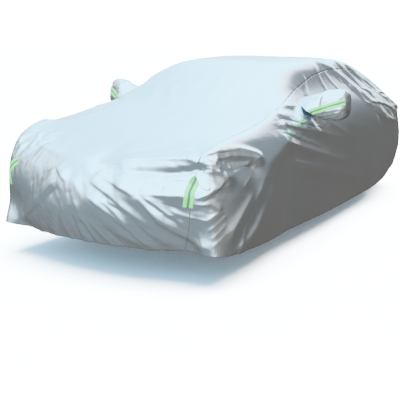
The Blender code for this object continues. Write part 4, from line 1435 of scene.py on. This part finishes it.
@dataclass
class Tape:
    """A reflective strip with its dark stripe and its stitches."""

    strip: Strip
    rows: int = 72
    columns: int = 10
    thickness: float = 0.0007
    lift: float = 0.0006
    stitch_pitch: float = 0.006
    stitch_inset: float = 0.0028
    stitch_share: float = 0.64
    stitch_radius: float = 0.0005
    easing: int = 30
    # How far above the cloth the search for its face starts.
    probe: float = 0.02

    @property
    def shares(self) -> np.ndarray:
        """The places of the strip's columns across it, from -0.5 to 0.5."""
        return np.linspace(-0.5, 0.5, self.columns + 1)

    def line(self, count: int) -> np.ndarray:
        """Points along the strip's path."""
        path = np.array(self.strip.path)
        return spline(np.arange(len(path)), path, np.linspace(0, len(path) - 1, count))

    def spine(self, tree: BVHTree, middle: np.ndarray) -> tuple[np.ndarray, np.ndarray]:
        """The strip's middle line on the cloth, and the way out at each of its points."""
        spots = []
        ups = []
        for place in self.line(self.rows + 1):
            spot, normal, _, _ = tree.find_nearest(Vector(place - ORIGIN))
            up = np.array(normal)
            spots.append(np.array(spot) + ORIGIN)
            ups.append(up if up @ (spots[-1] - middle) > 0 else -up)
        return eased(np.array(spots), self.easing), unit(eased(np.array(ups), self.easing))

    def laid(self, tree: BVHTree, middle: np.ndarray) -> tuple[np.ndarray, np.ndarray]:
        """The strip's lower face on the cloth.

        Args:
            tree: The cloth's search tree.
            middle: A point inside the cloth.

        Returns:
            A grid of points and their outward directions, in the tables' frame.
        """
        spots, ups = self.spine(tree, middle)
        across = unit(np.cross(unit(np.gradient(spots, axis=0)), ups))
        flat = spots[:, None] + across[:, None] * (self.shares * self.strip.width)[None, :, None]
        rise = np.zeros(flat.shape[:2])
        for row, column in np.ndindex(*rise.shape):
            start = flat[row, column] + ups[row] * self.probe
            spot = tree.ray_cast(Vector(start - ORIGIN), Vector(-ups[row]), self.probe * 1.5)[0]
            if spot is not None:
                rise[row, column] = self.probe - np.linalg.norm(np.array(spot) + ORIGIN - start)
        rise = np.maximum(eased(rise, 3), eased(rise.T, 3).T)
        highest = np.tile(rise.max(axis=1, keepdims=True), (1, rise.shape[1]))
        rise = eased(highest * 0.5 + rise * 0.5, 2)
        points = flat + ups[:, None] * (rise + self.lift)[..., None]
        return points, np.repeat(ups[:, None], self.columns + 1, axis=1)

    def part_of(self, face: tuple, half: float, lift: float) -> tuple[np.ndarray, np.ndarray]:
        """The middle part of the strip's lower face, raised.

        Args:
            face: The lower face's points and outward directions.
            half: Half the part's width, as a share of the strip's.
            lift: How far it is raised.

        Returns:
            The part's points and outward directions.
        """
        points, ups = face
        wanted = np.linspace(-half, half, self.columns + 1)
        rows = [[np.interp(wanted, self.shares, row[:, axis]) for axis in range(3)] for row in points]
        return np.array(rows).transpose(0, 2, 1) + ups * lift, ups

    def stitches(self, face: tuple, name: str) -> bpy.types.Object:
        """Two rows of stitches, one along each edge of the strip."""
        inset = 0.5 - self.stitch_inset / self.strip.width
        points, ups = self.part_of(face, inset, self.thickness)
        mesh = bmesh.new()
        for column in (0, self.columns):
            line = points[:, column]
            runs = run_length(line)
            count = int(runs[-1] / self.stitch_pitch)
            for i in range(count):
                start = (i + (1 - self.stitch_share) / 2) * self.stitch_pitch
                ends = [start, start + self.stitch_share * self.stitch_pitch]
                spots = np.array([[np.interp(end, runs, line[:, axis]) for axis in range(3)] for end in ends])
                row = min(int(np.searchsorted(runs, ends[0])), len(line) - 1)
                stitch_body(mesh, spots - ORIGIN, ups[row, column], self.stitch_radius)
        obj = mesh_object(name, mesh)
        obj.data.shade_smooth()
        return obj

    def build(self, cloth: Sequence[bpy.types.Object], middle: np.ndarray, palette: Palette) -> None:
        """Make the strip, its stripe and its stitches on the cloth that carries it.

        Args:
            cloth: The pieces that the strip is sewn on.
            middle: A point inside them.
            palette: The finishes.
        """
        place = self.strip.place
        face = self.laid(search_tree(cloth), middle)
        points, ups = self.part_of(face, 0.5, self.thickness)
        band = grid_object(f"strip_{place}_tape", points, ups)
        thicken(band, self.thickness)
        dress(band, palette.green, "green_tape", f"strip_{place}")
        points, ups = self.part_of(face, STRIPE_SHARE / 2, 2.0 * self.thickness)
        stripe = grid_object(f"stripe_{place}_tape", points, ups)
        thicken(stripe, self.thickness * 0.8)
        dress(stripe, palette.dark, "dark_tape", f"stripe_{place}")
        thread = self.stitches(face, f"strip_{place}_stitches")
        dress(thread, palette.thread, "silver_cloth")
        length = float(run_length(self.line(40))[-1])



# A stitch's rings: how far along it each is, its size and how high it rides, as shares of the radius.
STITCH_RINGS = ((0.15, 0.8, 0.5), (0.5, 1.0, 0.9), (0.85, 0.8, 0.5))
STITCH_SINK = 0.3


def stitch_body(mesh: bmesh.types.BMesh, ends: np.ndarray, up: np.ndarray, radius: float) -> None:
    """Add one stitch: a short, bowed thread with pointed ends.

    Args:
        mesh: The mesh that gets it.
        ends: Its two ends.
        up: The way out of the cloth.
        radius: The thread's radius.
    """
    way = unit(ends[1] - ends[0])
    across = np.cross(way, up)
    rings = []
    for share, size, rise in STITCH_RINGS:
        middle = ends[0] + (ends[1] - ends[0]) * share + up * radius * rise
        ring = []
        for turn in range(4):
            angle = math.pi / 4 + turn * math.pi / 2
            place = middle + (across * math.cos(angle) + up * math.sin(angle)) * radius * size
            ring.append(mesh.verts.new(place))
        rings.append(ring)
    first, last = (mesh.verts.new(end - up * radius * STITCH_SINK) for end in ends)
    for turn in range(4):
        after = (turn + 1) % 4
        mesh.faces.new((first, rings[0][after], rings[0][turn]))
        mesh.faces.new((last, rings[2][turn], rings[2][after]))
        for near, far in zip(rings, rings[1:]):
            mesh.faces.new((near[turn], near[after], far[after], far[turn]))


# ---- Studio ----


@dataclass(frozen=True)
class Viewpoint:
    """Where the camera stands and how it looks."""

    place: tuple = (6.671, 2.919, 0.1005)
    azimuth: float = 118.485
    down: float = 11.571
    roll: float = 1.28
    lens: float = 68.6
    sensor: float = 36.0
    farthest: float = 200.0

    def build(self) -> bpy.types.Object:
        """Make the scene's camera."""
        data = bpy.data.cameras.new("camera")
        data.lens = self.lens
        data.sensor_width = self.sensor
        data.clip_end = self.farthest
        camera = linked("camera", data)
        turn = Matrix.Rotation(math.radians(self.azimuth), 4, "Z")
        tilt = Matrix.Rotation(math.radians(90 - self.down), 4, "X")
        roll = Matrix.Rotation(math.radians(self.roll), 4, "Z")
        camera.matrix_world = Matrix.Translation(self.place) @ turn @ tilt @ roll
        bpy.context.scene.camera = camera
        return camera


class Share(NamedTuple):
    """A share from 0 to 1 that rises with a value: how fast, and how much there is at 0."""

    slope: float
    start: float

    def of(self, value: Term) -> Term:
        """The share at a value."""
        return (value * self.slope + self.start).held()


@dataclass(frozen=True)
class Lamp:
    """A sun that lights the floor alone: its strength, and whether the cover's shadow falls on it."""

    name: str
    strength: float
    throws: bool
    softness: float = 70.0
    tilt_x: float = -8.0
    tilt_y: float = -6.0

    def build(self, lit: bpy.types.Collection) -> None:
        """Make the light for the objects of a collection."""
        data = bpy.data.lights.new(self.name, "SUN")
        data.energy = self.strength
        data.angle = math.radians(self.softness)
        data.use_shadow = self.throws
        lamp = linked(self.name, data)
        lamp.rotation_euler = (math.radians(self.tilt_x), math.radians(self.tilt_y), 0.0)
        lamp.light_linking.receiver_collection = lit


@dataclass(frozen=True)
class Studio:
    """A pale floor with soft lights of its own, a bright backdrop and the camera."""

    ground: float = -1.4215
    floor_size: float = 600.0
    floor_colour: tuple = (0.88, 0.91, 0.95, 1.0)
    lamps: tuple = (Lamp("floor light", 60.0, True), Lamp("floor fill", 6.5, False))
    white: tuple = (1.0, 1.0, 1.0, 1.0)
    white_strength: float = 20.0
    warm: tuple = (1.0, 0.94, 0.86, 1.0)
    pale: tuple = (0.74, 0.89, 1.0, 1.0)
    blue: tuple = (0.16, 0.66, 1.0, 1.0)
    cool: tuple = (0.90, 0.96, 1.0, 1.0)
    sky_strength: float = 9.5
    ground_strength: float = 0.15
    ahead_strength: float = 0.22
    right_shade: float = 0.98
    blueness: float = 1.6
    # Shares of the directions: ahead, far to the right, above, high overhead and slowly climbing.
    front: Share = Share(0.9, 0.55)
    right: Share = Share(-1.6, -0.6)
    sky: Share = Share(3.4, 0.1)
    zenith: Share = Share(3.0, -2.0)
    climb: Share = Share(1.2, 0.6)

    def build(self) -> None:
        """Make the floor and its lights, the backdrop and the camera."""
        self.floor()
        self.backdrop()
        Viewpoint().build()

    def floor(self) -> None:
        """Make the floor, with lights of its own that throw the cover's soft shadow on it."""
        bpy.ops.mesh.primitive_plane_add(size=self.floor_size, location=(0.0, 0.0, self.ground))
        floor = bpy.context.active_object
        floor.name = "floor"
        surface = Surface("pale_floor")
        surface.set(Base_Color=self.floor_colour, Roughness=0.9, Metallic=0.0)
        floor.data.materials.append(surface.material)
        floor.visible_diffuse = False
        floor.visible_glossy = False
        lit = bpy.data.collections.new("lit from above")
        lit.objects.link(floor)
        for lamp in self.lamps:
            lamp.build(lit)

    def backdrop(self) -> None:
        """Light the surroundings: a pale blue dome over a warm grey ground, dimmer on the left side."""
        world = bpy.data.worlds.new("backdrop")
        bpy.context.scene.world = world
        world.use_nodes = True
        graph = Graph(world.node_tree)
        world.node_tree.nodes.clear()
        place = graph.term(graph.node("ShaderNodeTexCoord"), "Generated")
        way = graph.node("ShaderNodeSeparateXYZ", sockets={"Vector": place})
        ahead, left, height = (graph.term(way, axis) for axis in ("X", "Y", "Z"))
        tint, strength = self.light_from(graph, ahead, left, height)
        seen = graph.term(graph.node("ShaderNodeLightPath"), "Is Camera Ray")
        background = graph.node("ShaderNodeBackground", sockets={
            "Color": graph.blend(seen, tint, self.white),
            "Strength": seen * self.white_strength + (1.0 - seen) * strength,
        })
        output = graph.node("ShaderNodeOutputWorld")
        world.node_tree.links.new(background.outputs[0], output.inputs["Surface"])

    def light_from(self, graph: Graph, ahead: Term, left: Term, height: Term) -> tuple[Term, Term]:
        """The colour and the strength of the light from each direction.

        Args:
            graph: The node tree of the surroundings.
            ahead: How far the direction points ahead, from -1 to 1.
            left: How far it points left.
            height: How far it points up.

        Returns:
            The light's colour and its strength.
        """
        front = self.front.of(ahead)
        sky = self.sky.of(height)
        beside = (left * 3.0 + 0.55 - front * 2.0).held() * (1.0 - self.zenith.of(height))
        # Ahead, the light climbs slowly from the ground; elsewhere it starts at the horizon.
        slope = self.climb.of(height)
        climb = slope * slope * slope
        bright = (1.0 - front) * sky + front * climb
        bright = bright * (1.0 - self.right.of(left) * self.right_shade)
        tint = graph.blend(front, self.warm, self.pale)
        tint = graph.blend((bright * self.blueness).held(), tint, self.blue)
        tint = graph.blend(beside, tint, graph.blend(sky, self.warm, self.cool))
        open_light = self.ground_strength + front * self.ahead_strength + bright * self.sky_strength
        dim_light = self.ground_strength + front * 0.20 + sky * (front * 0.60 + 0.13)
        return tint, open_light * (1.0 - beside) + beside * dim_light


def main() -> None:
    """Build the cover and its studio."""
    logging.basicConfig(level=logging.INFO, format="%(name)s: %(message)s")
    palette = Palette.mix()
    shell = Shell(CoverForm())
    shell.build(palette)
    for side in Side:
        Pocket(side).build(shell, palette)
    for strip in STRIPS:
        place, side = strip.place.split("_")
        side = Side[side.upper()]
        if place == "front":
            cloth = [shell.objects["centre"], shell.objects[side]]
            middle = FRONT_HEART
        else:
            cloth = [shell.objects[f"pocket_{side.word}"]]
            middle = POCKET_HEART * (1, side.value, 1)
        Tape(strip).build(cloth, middle, palette)
    Studio().build()


if __name__ == "__main__":
    main()
